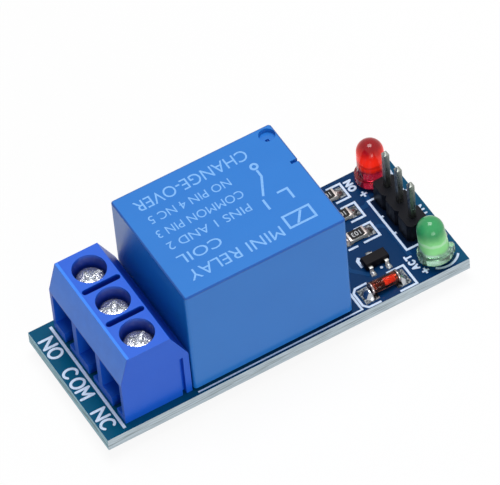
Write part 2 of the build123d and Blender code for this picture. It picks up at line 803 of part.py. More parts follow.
# Chip resistors: a ceramic chip with a wrapped cap at each end
chip_bottom = board_top + chip_cap_thickness
chip_top = chip_bottom + chip_height
for number, chip_y in enumerate(resistor_ys, start=1):
    with BuildPart() as resistor:
        with BuildSketch(Plane.XY.offset(chip_bottom)):
            with Locations((resistor_x, chip_y)):
                Rectangle(chip_length, chip_width)
        extrude(amount=chip_height)
    resistor.part.label = f"resistor_{number}"
    export_step(resistor.part, f"parts/resistor_{number}.step")

    with BuildPart() as resistor_caps:
        for side in (-1, 1):
            end_x = resistor_x + side * (chip_length / 2 + chip_cap_thickness)
            inner_x = resistor_x + side * chip_length / 2
            lip_x = end_x - side * (chip_cap_length + chip_cap_thickness)
            with BuildSketch(side_plane(chip_y)):
                with BuildLine():
                    Polyline(
                        (lip_x, chip_top),
                        (lip_x, chip_top + chip_cap_thickness),
                        (end_x, chip_top + chip_cap_thickness),
                        (end_x, board_top),
                        (lip_x, board_top),
                        (lip_x, chip_bottom),
                        (inner_x, chip_bottom),
                        (inner_x, chip_top),
                        close=True,
                    )
                make_face()
            extrude(amount=chip_width / 2, both=True)
    resistor_caps.part.label = f"resistor_{number}_caps"
    export_step(resistor_caps.part, f"parts/resistor_{number}_caps.step")

# Transistor: a moulded body with a parting line at mid height, and three bent leads
parting_level = board_top + transistor_lift + transistor_height / 2
with BuildPart() as transistor_body:
    for direction in (-1, 1):
        with BuildSketch(Plane.XY.offset(parting_level)):
            with Locations((transistor_x, transistor_y)):
                Rectangle(transistor_length, transistor_width)
        extrude(amount=direction * transistor_height / 2, taper=transistor_taper)

transistor_body.part.label = "transistor_body"
export_step(transistor_body.part, "parts/transistor_body.step")

wing_places = [(-1, -transistor_pitch / 2), (-1, transistor_pitch / 2), (1, 0)]
with BuildPart() as transistor_leads:
    for side, shift in wing_places:
        wing_top = parting_level + wing_thickness / 2
        wing_under = parting_level - wing_thickness / 2
        with BuildSketch(end_plane(transistor_x + shift)):
            with BuildLine():
                Polyline(
                    *[
                        (transistor_y + side * reach, level)
                        for reach, level in (
                            (transistor_width / 2, wing_top),
                            (wing_drop_x + wing_thickness, wing_top),
                            (wing_drop_x + wing_thickness, board_top + wing_thickness),
                            (wing_reach, board_top + wing_thickness),
                            (wing_reach, board_top),
                            (wing_drop_x, board_top),
                            (wing_drop_x, wing_under),
                            (transistor_width / 2, wing_under),
                        )
                    ],
                    close=True,
                )
            make_face()
        extrude(amount=wing_width / 2, both=True)

transistor_leads.part.label = "transistor_leads"
export_step(transistor_leads.part, "parts/transistor_leads.step")

# Glass diode lying along X: two caps, a glass sleeve, and the plungers that hold the die
diode_axis_z = board_top + diode_cap_radius
cap_inner = diode_length / 2 - diode_cap_length
with BuildPart() as diode_glass:
    with BuildSketch(end_plane(diode_x)):
        with Locations((diode_y, diode_axis_z)):
            Circle(diode_glass_radius)
            Circle(diode_bore_radius, mode=Mode.SUBTRACT)
    extrude(amount=cap_inner, both=True)

diode_glass.part.label = "diode_glass"
export_step(diode_glass.part, "parts/diode_glass.step")

with BuildPart() as diode_caps:
    for side in (-1, 1):
        with BuildSketch(end_plane(diode_x + side * cap_inner)):
            with Locations((diode_y, diode_axis_z)):
                Circle(diode_cap_radius)
        extrude(amount=side * diode_cap_length)

diode_caps.part.label = "diode_caps"
export_step(diode_caps.part, "parts/diode_caps.step")

with BuildPart() as diode_die:
    with BuildSketch(end_plane(diode_x)):
        with Locations((diode_y, diode_axis_z)):
            Circle(plunger_radius)
    extrude(amount=cap_inner, both=True)

diode_die.part.label = "diode_die"
export_step(diode_die.part, "parts/diode_die.step")

# Solder under the board: a tapered joint round each lead, wider than its hole
terminal_pin_section = (strip_thickness, terminal_pin_width)
header_pin_section = (header_pin_size, header_pin_size)
lead_section = (lead_size, lead_size)
solder_groups = {
    "terminal_solder": [
        (spot, terminal_pin_section, terminal_hole_radius) for spot in terminal_spots
    ],
    "relay_solder": [
        (spot, relay_pin_sections[pin], relay_hole_radius) for pin, spot in relay_pins.items()
    ],
    "header_solder": [(spot, header_pin_section, header_hole_radius) for spot in header_spots],
    "led_solder": [(spot, lead_section, lead_hole_radius) for spot in lamp_spots],
}
for name, joints in solder_groups.items():
    with BuildPart() as solder:
        for spot, section, hole_radius in joints:
            with BuildSketch(Plane.XY.offset(board_bottom)):
                with Locations(spot):
                    RegularPolygon(hole_radius + solder_skirt, solder_sides)
            extrude(amount=-solder_climb, taper=solder_taper)
            with BuildSketch(Plane.XY.offset(board_bottom)):
                with Locations(spot):
                    Rectangle(*section)
            extrude(amount=-solder_climb, mode=Mode.SUBTRACT)
    solder.part.label = name
    export_step(solder.part, f"parts/{name}.step")

# Solder on top: a ramp at each end of the chips and the diode, and at each transistor foot
chip_end = chip_length / 2 + chip_cap_thickness
surface_joints = {
    "resistor_solder": [
        (resistor_x, chip_y, chip_end, chip_solder_run, chip_solder_rise, chip_solder_width)
        for chip_y in resistor_ys
    ],
    "diode_solder": [
        (
            diode_x,
            diode_y,
            diode_length / 2,
            diode_solder_run,
            diode_cap_radius,
            diode_solder_width,
        )
    ],
}
for name, joints in surface_joints.items():
    with BuildPart() as ramps:
        for middle_x, middle_y, reach, run, rise, width in joints:
            for side in (-1, 1):
                wall_x = middle_x + side * reach
                with BuildSketch(side_plane(middle_y)):
                    with BuildLine():
                        Polyline(
                            (wall_x + side * run, board_top),
                            (wall_x, board_top),
                            (wall_x, board_top + rise),
                        )
                        TangentArc(
                            (wall_x + side * run, board_top),
                            (wall_x, board_top + rise),
                            tangent=(-side, 0),
                        )
                    make_face()
                extrude(amount=width / 2, both=True)
    ramps.part.label = name
    export_step(ramps.part, f"parts/{name}.step")

with BuildPart() as transistor_solder:
    for side, shift in wing_places:
        foot_end = transistor_y + side * wing_reach
        with BuildSketch(end_plane(transistor_x + shift)):
            with BuildLine():
                Polyline(
                    (foot_end, board_top),
                    (foot_end, board_top + 2 * wing_thickness),
                    (foot_end + side * wing_solder_run, board_top),
                    close=True,
                )
            make_face()
        extrude(amount=wing_width, both=True)

transistor_solder.part.label = "transistor_solder"
export_step(transistor_solder.part, "parts/transistor_solder.step")
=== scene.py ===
"""Looks of the relay module board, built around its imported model.

Pieces are made in millimetres and turned into metres as they are finished. X runs along the
board from the screw terminal to the pin header, Y across it, and Z up.
"""

import logging
import math
from collections.abc import Iterable, Mapping, Sequence
from dataclasses import dataclass, field
from enum import Enum
from functools import cached_property

import bmesh
import bpy
from mathutils import Matrix, Vector


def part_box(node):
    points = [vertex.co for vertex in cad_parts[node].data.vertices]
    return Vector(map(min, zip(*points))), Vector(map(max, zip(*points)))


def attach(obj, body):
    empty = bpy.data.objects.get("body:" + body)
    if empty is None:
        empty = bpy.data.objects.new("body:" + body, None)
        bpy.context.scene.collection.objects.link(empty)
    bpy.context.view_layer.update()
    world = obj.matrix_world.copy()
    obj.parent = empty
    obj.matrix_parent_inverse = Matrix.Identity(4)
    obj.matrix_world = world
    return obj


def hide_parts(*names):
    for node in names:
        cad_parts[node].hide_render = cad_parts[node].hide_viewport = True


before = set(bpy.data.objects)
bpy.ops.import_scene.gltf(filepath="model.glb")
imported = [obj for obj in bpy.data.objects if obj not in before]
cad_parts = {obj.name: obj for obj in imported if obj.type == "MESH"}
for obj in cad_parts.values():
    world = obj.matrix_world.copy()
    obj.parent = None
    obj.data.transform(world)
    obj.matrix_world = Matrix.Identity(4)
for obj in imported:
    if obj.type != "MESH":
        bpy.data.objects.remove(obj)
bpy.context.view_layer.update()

# A millimetre in metres, the gap in millimetres and the angle that count as none, and a full turn
MM = 0.001
WELD = 0.0005
FLAT = math.radians(0.5)
FULL_TURN = 2 * math.pi

Colour = tuple[int, int, int]
Spot = tuple[float, float]
Place = tuple[float, float, float]

BLACK: Colour = (0, 0, 0)
WHITE: Colour = (255, 255, 255)

log = logging.getLogger("relay_module")


def linear(colour: Colour) -> tuple[float, float, float, float]:
    """Turn a screen colour into the linear one that a shader takes.

    Args:
        colour: Red, green and blue from 0 to 255, as seen on a screen.

    Returns:
        Linear red, green and blue, with an alpha of 1.
    """
    shares = [value / 255 for value in colour]
    parts = [s / 12.92 if s <= 0.04045 else ((s + 0.055) / 1.055) ** 2.4 for s in shares]
    return (parts[0], parts[1], parts[2], 1.0)


class Value:
    """A node's output, with arithmetic that adds Math nodes to its graph.

    Args:
        graph: The graph that the node is in.
        socket: The output socket that holds the value, or None where a node ends its graph.
    """

    def __init__(self, graph: "Graph", socket: bpy.types.NodeSocket | None) -> None:
        """Hold the output and its graph."""
        self.graph = graph
        self.socket = socket

    def math(self, operation: str, first: "Value | float", second: "Value | float" = 0.0) -> "Value":
        """Add a Math node and give its result."""
        return self.graph.add("ShaderNodeMath", {"operation": operation}, {0: first, 1: second})

    def __add__(self, other: "Value | float") -> "Value":
        """Sum."""
        return self.math("ADD", self, other)

    def __radd__(self, other: float) -> "Value":
        """Sum with a number first."""
        return self.math("ADD", other, self)

    def __sub__(self, other: "Value | float") -> "Value":
        """Difference."""
        return self.math("SUBTRACT", self, other)

    def __rsub__(self, other: float) -> "Value":
        """Difference from a number."""
        return self.math("SUBTRACT", other, self)

    def __mul__(self, other: "Value | float") -> "Value":
        """Product."""
        return self.math("MULTIPLY", self, other)

    def __rmul__(self, other: float) -> "Value":
        """Product with a number first."""
        return self.math("MULTIPLY", other, self)

    def __truediv__(self, other: "Value | float") -> "Value":
        """Quotient."""
        return self.math("DIVIDE", self, other)

    def __abs__(self) -> "Value":
        """Distance from zero."""
        return self.math("ABSOLUTE", self)

    def above(self, limit: float) -> "Value":
        """1 where the value is over the limit, else 0."""
        return self.math("GREATER_THAN", self, limit)

    def either(self, other: "Value") -> "Value":
        """The larger of two masks."""
        return self.math("MAXIMUM", self, other)

    def both(self, other: "Value") -> "Value":
        """The smaller of two masks."""
        return self.math("MINIMUM", self, other)

    def sine(self) -> "Value":
        """Sine of the value in radians."""
        return self.math("SINE", self)

    def swing(self, amount: float) -> "Value":
        """Turn noise from 0 to 1 into a change of this size about zero."""
        return (self - 0.5) * amount

    def fade(self, low: float, high: float) -> "Value":
        """Rise smoothly from 0 at one value to 1 at another.

        Args:
            low: The value that gives 0.
            high: The value that gives 1.

        Returns:
            The faded share, from 0 to 1.
        """
        return self.graph.add(
            "ShaderNodeMapRange",
            {"interpolation_type": "SMOOTHSTEP"},
            {"Value": self, "From Min": low, "From Max": high},
        )


class Graph:
    """The node graph of one material, or of the world.

    Args:
        owner: The material or the world, whose nodes are replaced.
    """

    def __init__(self, owner: bpy.types.Material | bpy.types.World) -> None:
        """Start an empty graph."""
        owner.use_nodes = True
        self.tree = owner.node_tree
        self.tree.nodes.clear()

    @cached_property
    def places(self) -> Value:
        """Places on the piece, which are places in the shared frame."""
        return self.add("ShaderNodeTexCoord", take="Object")

    def add(
        self,
        kind: str,
        settings: Mapping[str, object] | None = None,
        sockets: Mapping[int | str, object] | None = None,
        take: int | str = 0,
    ) -> Value:
        """Add a node.

        Args:
            kind: The node's type.
            settings: Its settings, set before its sockets.
            sockets: Values or links of its input sockets.
            take: The output to return.

        Returns:
            The chosen output, which is empty where the node has none.
        """
        node = self.tree.nodes.new(kind)
        for name, setting in (settings or {}).items():
            setattr(node, name, setting)
        for key, value in (sockets or {}).items():
            if isinstance(value, Value):
                self.tree.links.new(value.socket, node.inputs[key])
            else:
                node.inputs[key].default_value = value
        return Value(self, node.outputs[take] if len(node.outputs) else None)

    def along(self, axis: str) -> Value:
        """Place along an axis of the shared frame, in millimetres."""
        place = self.add("ShaderNodeSeparateXYZ", None, {0: self.places}, take=axis)
        return place / MM

    def noise(self, grain: float, detail: float = 2.0, stretch: Place = (1.0, 1.0, 1.0)) -> Value:
        """Add smooth noise.

        Args:
            grain: Size of a grain, in millimetres.
            detail: Levels of finer noise.
            stretch: Length of a grain along each axis, as a multiple of its size.

        Returns:
            Noise from 0 to 1.
        """
        scale = tuple(1 / share for share in stretch)
        stretched = {0: self.places, "Scale": scale}
        places = self.add("ShaderNodeMapping", {"vector_type": "POINT"}, stretched)
        sockets = {"Vector": places, "Scale": 1 / (grain * MM), "Detail": detail}
        return self.add("ShaderNodeTexNoise", None, sockets)

    def tint(self, share: Value, first: Value | Colour, second: Value | Colour) -> Value:
        """Mix two colours.

        Args:
            share: How much of the second colour.
            first: The first colour.
            second: The second colour.

        Returns:
            The mixed colour.
        """
        ends = [end if isinstance(end, Value) else linear(end) for end in (first, second)]
        sockets = {0: share, 6: ends[0], 7: ends[1]}
        return self.add("ShaderNodeMix", {"data_type": "RGBA"}, sockets, take=2)

    def bump(self, height: Value, depth: float) -> Value:
        """Raise the surface by a map from 0 to 1, up to a depth in millimetres."""
        return self.add("ShaderNodeBump", None, {"Height": height, "Distance": depth * MM})

    def surface(self, sockets: Mapping[int | str, object]) -> None:
        """Finish the material with one Principled shader of these values or links."""
        shader = self.add("ShaderNodeBsdfPrincipled", None, sockets)
        self.add("ShaderNodeOutputMaterial", None, {"Surface": shader})


@dataclass(frozen=True)
class Finish:
    """What a piece is made of.

    Attributes:
        name: The material's name.
        slot: The record's slot that it stands for; it is not used.
    """

    name: str
    slot: str

    def material(self) -> bpy.types.Material:
        """The finish's material, made once and shared by its pieces."""
        if self.name not in MATERIALS:
            MATERIALS[self.name] = bpy.data.materials.new(self.name)
            self.shade(Graph(MATERIALS[self.name]))
        return MATERIALS[self.name]

    def shade(self, graph: Graph) -> None:
        """Build the material's nodes in its graph."""
        raise NotImplementedError


MATERIALS: dict[str, bpy.types.Material] = {}


@dataclass(frozen=True)
class Moulded(Finish):
    """Moulded plastic with slow shade changes and a fine skin.

    Attributes:
        colour: Main colour.
        shade_colour: Colour that it drifts towards.
        roughness: Mean roughness.
        grain: Size of the skin's grain, in millimetres.
        depth: Depth of the skin's grain, in millimetres.
        sheen: Strength of its mirror reflection, where 0.5 is a full one.
        drift: Size of its slow shade changes, in millimetres.
        smear: Size of the smears that change its gloss, in millimetres.
    """

    colour: Colour = (128, 128, 128)
    shade_colour: Colour = (110, 110, 110)
    roughness: float = 0.4
    grain: float = 0.12
    depth: float = 0.004
    sheen: float = 0.4
    drift: float = 6.0
    smear: float = 1.6

    def shade(self, graph: Graph) -> None:
        """Build the plastic's nodes."""
        drift = graph.noise(self.drift, 3.0)
        skin = graph.noise(self.grain, 2.0)
        smears = graph.noise(self.smear, 4.0, (3.0, 1.0, 1.0))
        rough = self.roughness + skin.swing(0.01) + smears.swing(0.06)
        plain = graph.tint(drift, self.colour, self.shade_colour)
        graph.surface(
            {
                "Base Color": self.toned(graph, plain),
                "Roughness": rough,
                "Normal": graph.bump(skin, self.depth),
                "Specular IOR Level": self.sheen,
            }
        )

    def toned(self, graph: Graph, colour: Value) -> Value:
        """Change the colour by place, which plain plastic does not do."""
        return colour


@dataclass(frozen=True)
class CasePlastic(Moulded):
    """The relay case's plastic, with a painted dark reflection along its top edge.

    Attributes:
        dark_reflection_colour: Colour of the painted dark reflection along the edge.
        middle: The case's middle, along and across, in millimetres.
        reach: Half its length and width, in millimetres.
        top: Height of its top, in millimetres.
        line: Width of the painted dark reflection, in millimetres.
        blur: Half the width over which it fades, in millimetres.
        strength: How much of the painted reflection's colour shows.
    """

    dark_reflection_colour: Colour = (8, 70, 156)
    middle: Spot = (-1.54, -0.1)
    reach: Spot = (9.6, 7.75)
    top: float = 18.4
    line: float = 0.17
    blur: float = 0.05
    strength: float = 0.75

    def toned(self, graph: Graph, colour: Value) -> Value:
        """Paint a dark reflection along the rim of the case's top."""
        # Painted dark reflection: a thin darker band along the border of the case's top
        along = abs(graph.along("X") - self.middle[0]) - (self.reach[0] - self.line)
        across = abs(graph.along("Y") - self.middle[1]) - (self.reach[1] - self.line)
        rim = along.either(across).fade(-self.blur, self.blur)
        height = graph.along("Z").fade(self.top - 2 * self.line, self.top - self.line)
        return graph.tint(rim.both(height) * self.strength, colour, self.dark_reflection_colour)


@dataclass(frozen=True)
class TerminalPlastic(Moulded):
    """The terminal housing's plastic, with painted light on its slope and painted shade in its wells.

    Attributes:
        slope_light_colour: Colour of the painted light on the slope.
        slope_end: Where the slope meets the flat roof, along the board, in millimetres.
        slope_foot: Height of the slope's lower end, in millimetres.
        half_width: Half the slope's width across the board, in millimetres.
        blur: Half the width over which the slope's edges fade, in millimetres.
        slope_light_share: How much of the frosted colour shows.
        well_shade_colour: Colour of the painted shade deep in the screws' wells.
        well_middle: The wells' middle along the board, in millimetres.
        well_reach: How far their colour reaches from there, in millimetres.
        well_levels: Heights where their colour starts, is still full and ends, in millimetres.
    """

    slope_light_colour: Colour = (50, 138, 255)
    slope_end: float = -18.0
    slope_foot: float = 9.3
    half_width: float = 7.52
    blur: float = 0.06
    # slope_light_share: How much of the painted slope light shows.
    slope_light_share: float = 0.85
    well_shade_colour: Colour = (6, 56, 168)
    well_middle: float = -14.7
    well_reach: float = 2.9
    well_levels: Place = (9.4, 12.4, 13.05)

    def toned(self, graph: Graph, colour: Value) -> Value:
        """Paint shade in the wells and paint light on the slope over the wire ways."""
        along, across, height = (graph.along(axis) for axis in "XYZ")
        inside = 1 - abs(across).fade(self.half_width - self.blur, self.half_width + self.blur)
        # Painted shade: a darker colour on the walls deep in the screws' wells
        start, full, end = self.well_levels
        deep = height.fade(start, start + 0.2) * (1 - height.fade(full, end))
        away = abs(along - self.well_middle).fade(self.well_reach, self.well_reach + 0.1)
        walls = deep * (1 - away)
        colour = graph.tint(walls.both(inside), colour, self.well_shade_colour)
        # Painted light: the slope over the wire ways is made paler, standing in for the light it
        # catches
        near = 1 - along.fade(self.slope_end - self.blur, self.slope_end + self.blur)
        high = height.fade(self.slope_foot - self.blur, self.slope_foot + self.blur)
        cloud = self.slope_light_share + graph.noise(1.2, 3.0).swing(0.4)
        return graph.tint(near.both(high).both(inside) * cloud, colour, self.slope_light_colour)


@dataclass(frozen=True)
class Metal(Finish):
    """Bare or plated metal.

    Attributes:
        colour: Bright colour.
        dull_colour: Colour of its duller patches.
        roughness: Mean roughness.
        grain: Size of the surface's grain, in millimetres.
        depth: Depth of the grain, in millimetres.
        brushed: Length of a grain along each axis, as a multiple of its size.
        metallic: Share of the surface that is bright metal and not dull coating.
        speckle: How far the grain shows in the colour.
        patch: Size of the duller patches, in millimetres.
    """

    colour: Colour = (205, 205, 200)
    dull_colour: Colour = (160, 160, 155)
    roughness: float = 0.28
    grain: float = 0.15
    depth: float = 0.004
    brushed: Place = (1.0, 1.0, 1.0)
    metallic: float = 1.0
    speckle: float = 0.0
    patch: float = 0.9

    def shade(self, graph: Graph) -> None:
        """Build the metal's nodes."""
        patches = graph.noise(self.patch, 4.0)
        grain = graph.noise(self.grain, 3.0, self.brushed)
        dull = patches * (1 - self.speckle) + grain.fade(0.4, 0.6) * self.speckle
        graph.surface(
            {
                "Base Color": graph.tint(dull, self.colour, self.dull_colour),
                "Roughness": self.roughness + grain.swing(0.25) + patches.swing(0.15),
                "Metallic": self.metallic,
                "Normal": graph.bump(grain, self.depth),
            }
        )


# Where the mask's colour starts and ends to change along the board, and its mirror reflection
MASK_DRIFT: Spot = (-20.0, 8.0)
MASK_SHEEN = 0.1


@dataclass(frozen=True)
class Laminate(Finish):
    """Board with a glossy mask on its faces and bare glass laminate at its cut edges.

    Attributes:
        near_mask: Mask colour at the screw terminal's end.
        far_mask: Mask colour among the small parts.
        end_mask: Mask colour beyond the header.
        bare: Colour of the cut edge along the board.
        end_bare: Colour of the cut edge at its ends.
        fibre: Colour of the edge's fibres.
        shadow: Colour of the painted shadow on the mask round the header's foot.
        shadow_middle: Middle of that patch, along and across, in millimetres.
        shadow_reach: Half its length and width, in millimetres.
        shadow_blur: How far it fades beyond them, in millimetres.
        shadow_levels: Heights between which it sets in, clear of the underside, in millimetres.
        shadow_strength: How much of its colour shows.
        end_drift: Where the mask starts and ends to change beyond the header, in millimetres.
        half_length: Half the board's length, in millimetres.
        half_width: Half the board's width, in millimetres.
        middle: Height of the board's middle, in millimetres.
    """

    near_mask: Colour = (3, 80, 113)
    far_mask: Colour = (6, 50, 94)
    end_mask: Colour = (10, 76, 110)
    bare: Colour = (202, 216, 224)
    end_bare: Colour = (194, 238, 252)
    fibre: Colour = (140, 155, 160)
    shadow: Colour = (10, 18, 36)
    shadow_middle: Spot = (19.0, 0.35)
    shadow_reach: Spot = (1.5, 3.7)
    shadow_blur: Spot = (0.5, 0.8)
    shadow_levels: Spot = (2.6, 3.0)
    shadow_strength: float = 0.85
    end_drift: Spot = (20.0, 21.6)
    half_length: float = 22.0
    half_width: float = 8.5
    middle: float = 2.3

    def shade(self, graph: Graph) -> None:
        """Build the board's nodes."""
        along, across, height = (graph.along(axis) for axis in "XYZ")
        sides = abs(across).above(self.half_width - 0.01)
        edge = abs(along).above(self.half_length - 0.01).either(sides)
        mask = graph.tint(along.fade(*MASK_DRIFT), self.near_mask, self.far_mask)
        mask = graph.tint(along.fade(*self.end_drift), mask, self.end_mask)
        cloth = graph.noise(0.5, 2.0, (6.0, 6.0, 0.25))
        core = 1 - abs(height - self.middle).fade(0.1, 0.5)
        threads = cloth.fade(0.42, 0.62) * (0.35 + 0.5 * core)
        bare = graph.tint(sides, self.end_bare, self.bare)
        cut = graph.tint(threads, bare, self.fibre)
        # Painted shadow round the header's foot, kept off the underside
        painted_shadow = height.fade(*self.shadow_levels)
        axes = zip((along, across), self.shadow_middle, self.shadow_reach, self.shadow_blur)
        for place, middle, reach, blur in axes:
            painted_shadow = painted_shadow.both(1 - abs(place - middle).fade(reach, reach + blur))
        mask = graph.tint(painted_shadow * self.shadow_strength, mask, self.shadow)
        ripple = graph.noise(0.8, 2.0)
        bump = graph.bump(ripple * (1 - edge) + cloth * edge, 0.012)
        graph.surface(
            {
                "Base Color": graph.tint(edge, mask, cut),
                "Roughness": 0.22 + 0.5 * edge + ripple.swing(0.1),
                "Normal": bump,
                "Specular IOR Level": MASK_SHEEN,
            }
        )


@dataclass(frozen=True)
class MaskedCopper(Finish):
    """A copper trace under the mask.

    Attributes:
        near_colour: Colour at the screw terminal's end.
        far_colour: Colour at the header's end.
    """

    near_colour: Colour = (8, 90, 124)
    far_colour: Colour = (12, 62, 110)

    def shade(self, graph: Graph) -> None:
        """Build the covered trace's nodes."""
        ripple = graph.noise(0.5, 2.0)
        drift = graph.along("X").fade(*MASK_DRIFT)
        graph.surface(
            {
                "Base Color": graph.tint(drift, self.near_colour, self.far_colour),
                "Roughness": 0.3 + ripple.swing(0.1),
                "Normal": graph.bump(ripple, 0.01),
                "Specular IOR Level": MASK_SHEEN,
            }
        )


@dataclass(frozen=True)
class Resin(Finish):
    """Lamp resin: coloured in its dome, clearer towards its flange, with a painted glow in its middle.

    Attributes:
        foot_colour: Colour at the flange.
        middle_colour: Colour of the lit middle.
        dome_colour: Colour at the dome.
        foot: Height where the flange's look ends, in millimetres.
        middle: Height of the lit middle, in millimetres.
        dome: Height where the dome's colour is full, in millimetres.
        foot_clear: Share of the light that passes through the flange.
        dome_clear: Share of the light that passes through the dome.
        haze: Roughness of the surface.
        seam: Height of the thin line where its insides end, in millimetres.
        seam_colour: Colour of that line.
        seam_line: How far from it the line is full, and how far it has faded, in millimetres.
        seam_strength: How much of its colour shows.
        glow: Strength of the painted glow in its middle, which stands in for daylight gathered in the
            resin.
        sheen: Strength of its mirror reflection, where 0.5 is a full one.
        index: How strongly it bends light.
    """

    foot_colour: Colour = (210, 25, 25)
    middle_colour: Colour = (230, 40, 30)
    dome_colour: Colour = (160, 10, 20)
    foot: float = 4.6
    middle: float = 6.0
    dome: float = 8.0
    foot_clear: float = 0.8
    dome_clear: float = 0.3
    haze: float = 0.1
    seam: float = 6.0
    seam_colour: Colour = (90, 10, 14)
    seam_line: Spot = (0.04, 0.3)
    seam_strength: float = 0.6
    glow: float = 0.2
    sheen: float = 0.35
    index: float = 1.45

    def shade(self, graph: Graph) -> None:
        """Build the resin's nodes."""
        height = graph.along("Z") + graph.noise(0.8, 3.0).swing(0.5)
        skin = graph.noise(0.3, 2.0)
        body = graph.tint(height.fade(self.middle, self.dome), self.middle_colour, self.dome_colour)
        under = graph.tint(height.fade(self.foot, self.foot + 0.4), self.foot_colour, body)
        seam = 1 - abs(height - self.seam).fade(*self.seam_line)
        # Painted glow: the middle emits its own colour, standing in for gathered daylight
        painted_glow_share = height.fade(self.foot, self.middle) * (1 - height.fade(self.middle, self.dome))
        sockets = {
            "Base Color": graph.tint(seam * self.seam_strength, under, self.seam_colour),
            "Roughness": self.haze + skin.swing(0.06),
            "Normal": graph.bump(skin, 0.004),
            "Emission Color": graph.tint(painted_glow_share, BLACK, self.middle_colour),
            "Emission Strength": self.glow,
            "Specular IOR Level": self.sheen,
            "IOR": self.index,
        }
        flange, dome = (
            graph.add("ShaderNodeBsdfPrincipled", None, {**sockets, "Transmission Weight": clear})
            for clear in (self.foot_clear, self.dome_clear)
        )
        rise = height.fade(self.foot - 0.3, self.foot + 0.5)
        mixed = graph.add("ShaderNodeMixShader", None, {0: rise, 1: flange, 2: dome})
        graph.add("ShaderNodeOutputMaterial", None, {"Surface": mixed})


@dataclass(frozen=True)
class Ink(Finish):
    """Printed ink, a little uneven.

    Attributes:
        colour: Colour where the print is thick.
        thin_colour: Colour where it is thin.
    """

    colour: Colour = (215, 230, 250)
    thin_colour: Colour = (170, 195, 220)

    def shade(self, graph: Graph) -> None:
        """Build the ink's nodes."""
        spread = graph.noise(0.22, 3.0)
        graph.surface(
            {
                "Base Color": graph.tint(spread.fade(0.5, 0.8), self.colour, self.thin_colour),
                "Roughness": 0.55 + spread.swing(0.2),
                "Normal": graph.bump(spread, 0.006),
            }
        )


@dataclass(frozen=True)
class TintedGlass(Finish):
    """The diode's clear, faintly tinted glass.

    Attributes:
        colour: Tint of the glass.
        deep_colour: Tint where it is stronger.
        index: How strongly it bends light.
    """

    colour: Colour = (232, 160, 138)
    deep_colour: Colour = (204, 118, 98)
    index: float = 1.18

    def shade(self, graph: Graph) -> None:
        """Build the glass's nodes."""
        wander = graph.noise(0.5, 2.0)
        graph.surface(
            {
                "Base Color": graph.tint(wander, self.colour, self.deep_colour),
                "Roughness": 0.03 + wander * 0.04,
                "Normal": graph.bump(wander, 0.002),
                "Transmission Weight": 1.0,
                "IOR": self.index,
            }
        )


@dataclass(frozen=True)
class BandedRod(Finish):
    """The rod in the diode: dark at its banded end and orange beyond.

    Attributes:
        colour: Colour of the rod.
        deep_colour: Colour of its deeper patches.
        band_colour: Colour of the dark end.
        band_end: Where the dark end stops along the board, in millimetres.
    """

    colour: Colour = (255, 132, 84)
    deep_colour: Colour = (226, 84, 56)
    band_colour: Colour = (34, 5, 7)
    band_end: float = 12.42

    def shade(self, graph: Graph) -> None:
        """Build the rod's nodes."""
        wander = graph.noise(0.4, 3.0)
        place = graph.along("X") + wander.swing(0.2)
        band = 1 - place.fade(self.band_end - 0.05, self.band_end + 0.05)
        warm = graph.tint(wander.fade(0.4, 0.7), self.colour, self.deep_colour)
        graph.surface(
            {
                "Base Color": graph.tint(band, warm, self.band_colour),
                "Roughness": 0.4 + wander.swing(0.2),
                "Normal": graph.bump(wander, 0.008),
            }
        )


@dataclass(frozen=True)
class Winding(Finish):
    """Enamelled copper wire laid in turns.

    Attributes:
        colour: Colour of the enamel's lit side.
        groove_shade_colour: Colour of the painted shade between the turns.
        pitch: Distance between turns, in millimetres.
    """

    colour: Colour = (190, 105, 55)
    groove_shade_colour: Colour = (110, 48, 24)
    pitch: float = 0.16

    def shade(self, graph: Graph) -> None:
        """Build the wire's nodes."""
        # Painted shade: the colour darkens in the grooves between the turns
        turns = (graph.along("Z") * (FULL_TURN / self.pitch)).sine()
        cloud = graph.noise(0.6, 3.0)
        graph.surface(
            {
                "Base Color": graph.tint(cloud * (0.7 - 0.3 * turns), self.colour, self.groove_shade_colour),
                "Roughness": 0.3 + cloud.swing(0.2),
                "Metallic": 0.7,
                "Normal": graph.bump(turns, 0.02),
            }
        )


@dataclass(frozen=True)
class Extent:
    """The box of a CAD node at rest, in millimetres.

    Attributes:
        low: Its lowest corner.
        high: Its highest corner.
    """

    low: Vector
    high: Vector

    @classmethod
    def of(cls, node: str) -> "Extent":
        """Read a node's box from the frame."""
        low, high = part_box(node)
        return cls(low / MM, high / MM)

    @property
    def middle(self) -> Vector:
        """The box's middle."""
        return (self.low + self.high) / 2

    @property
    def size(self) -> Vector:
        """The box's size."""
        return self.high - self.low


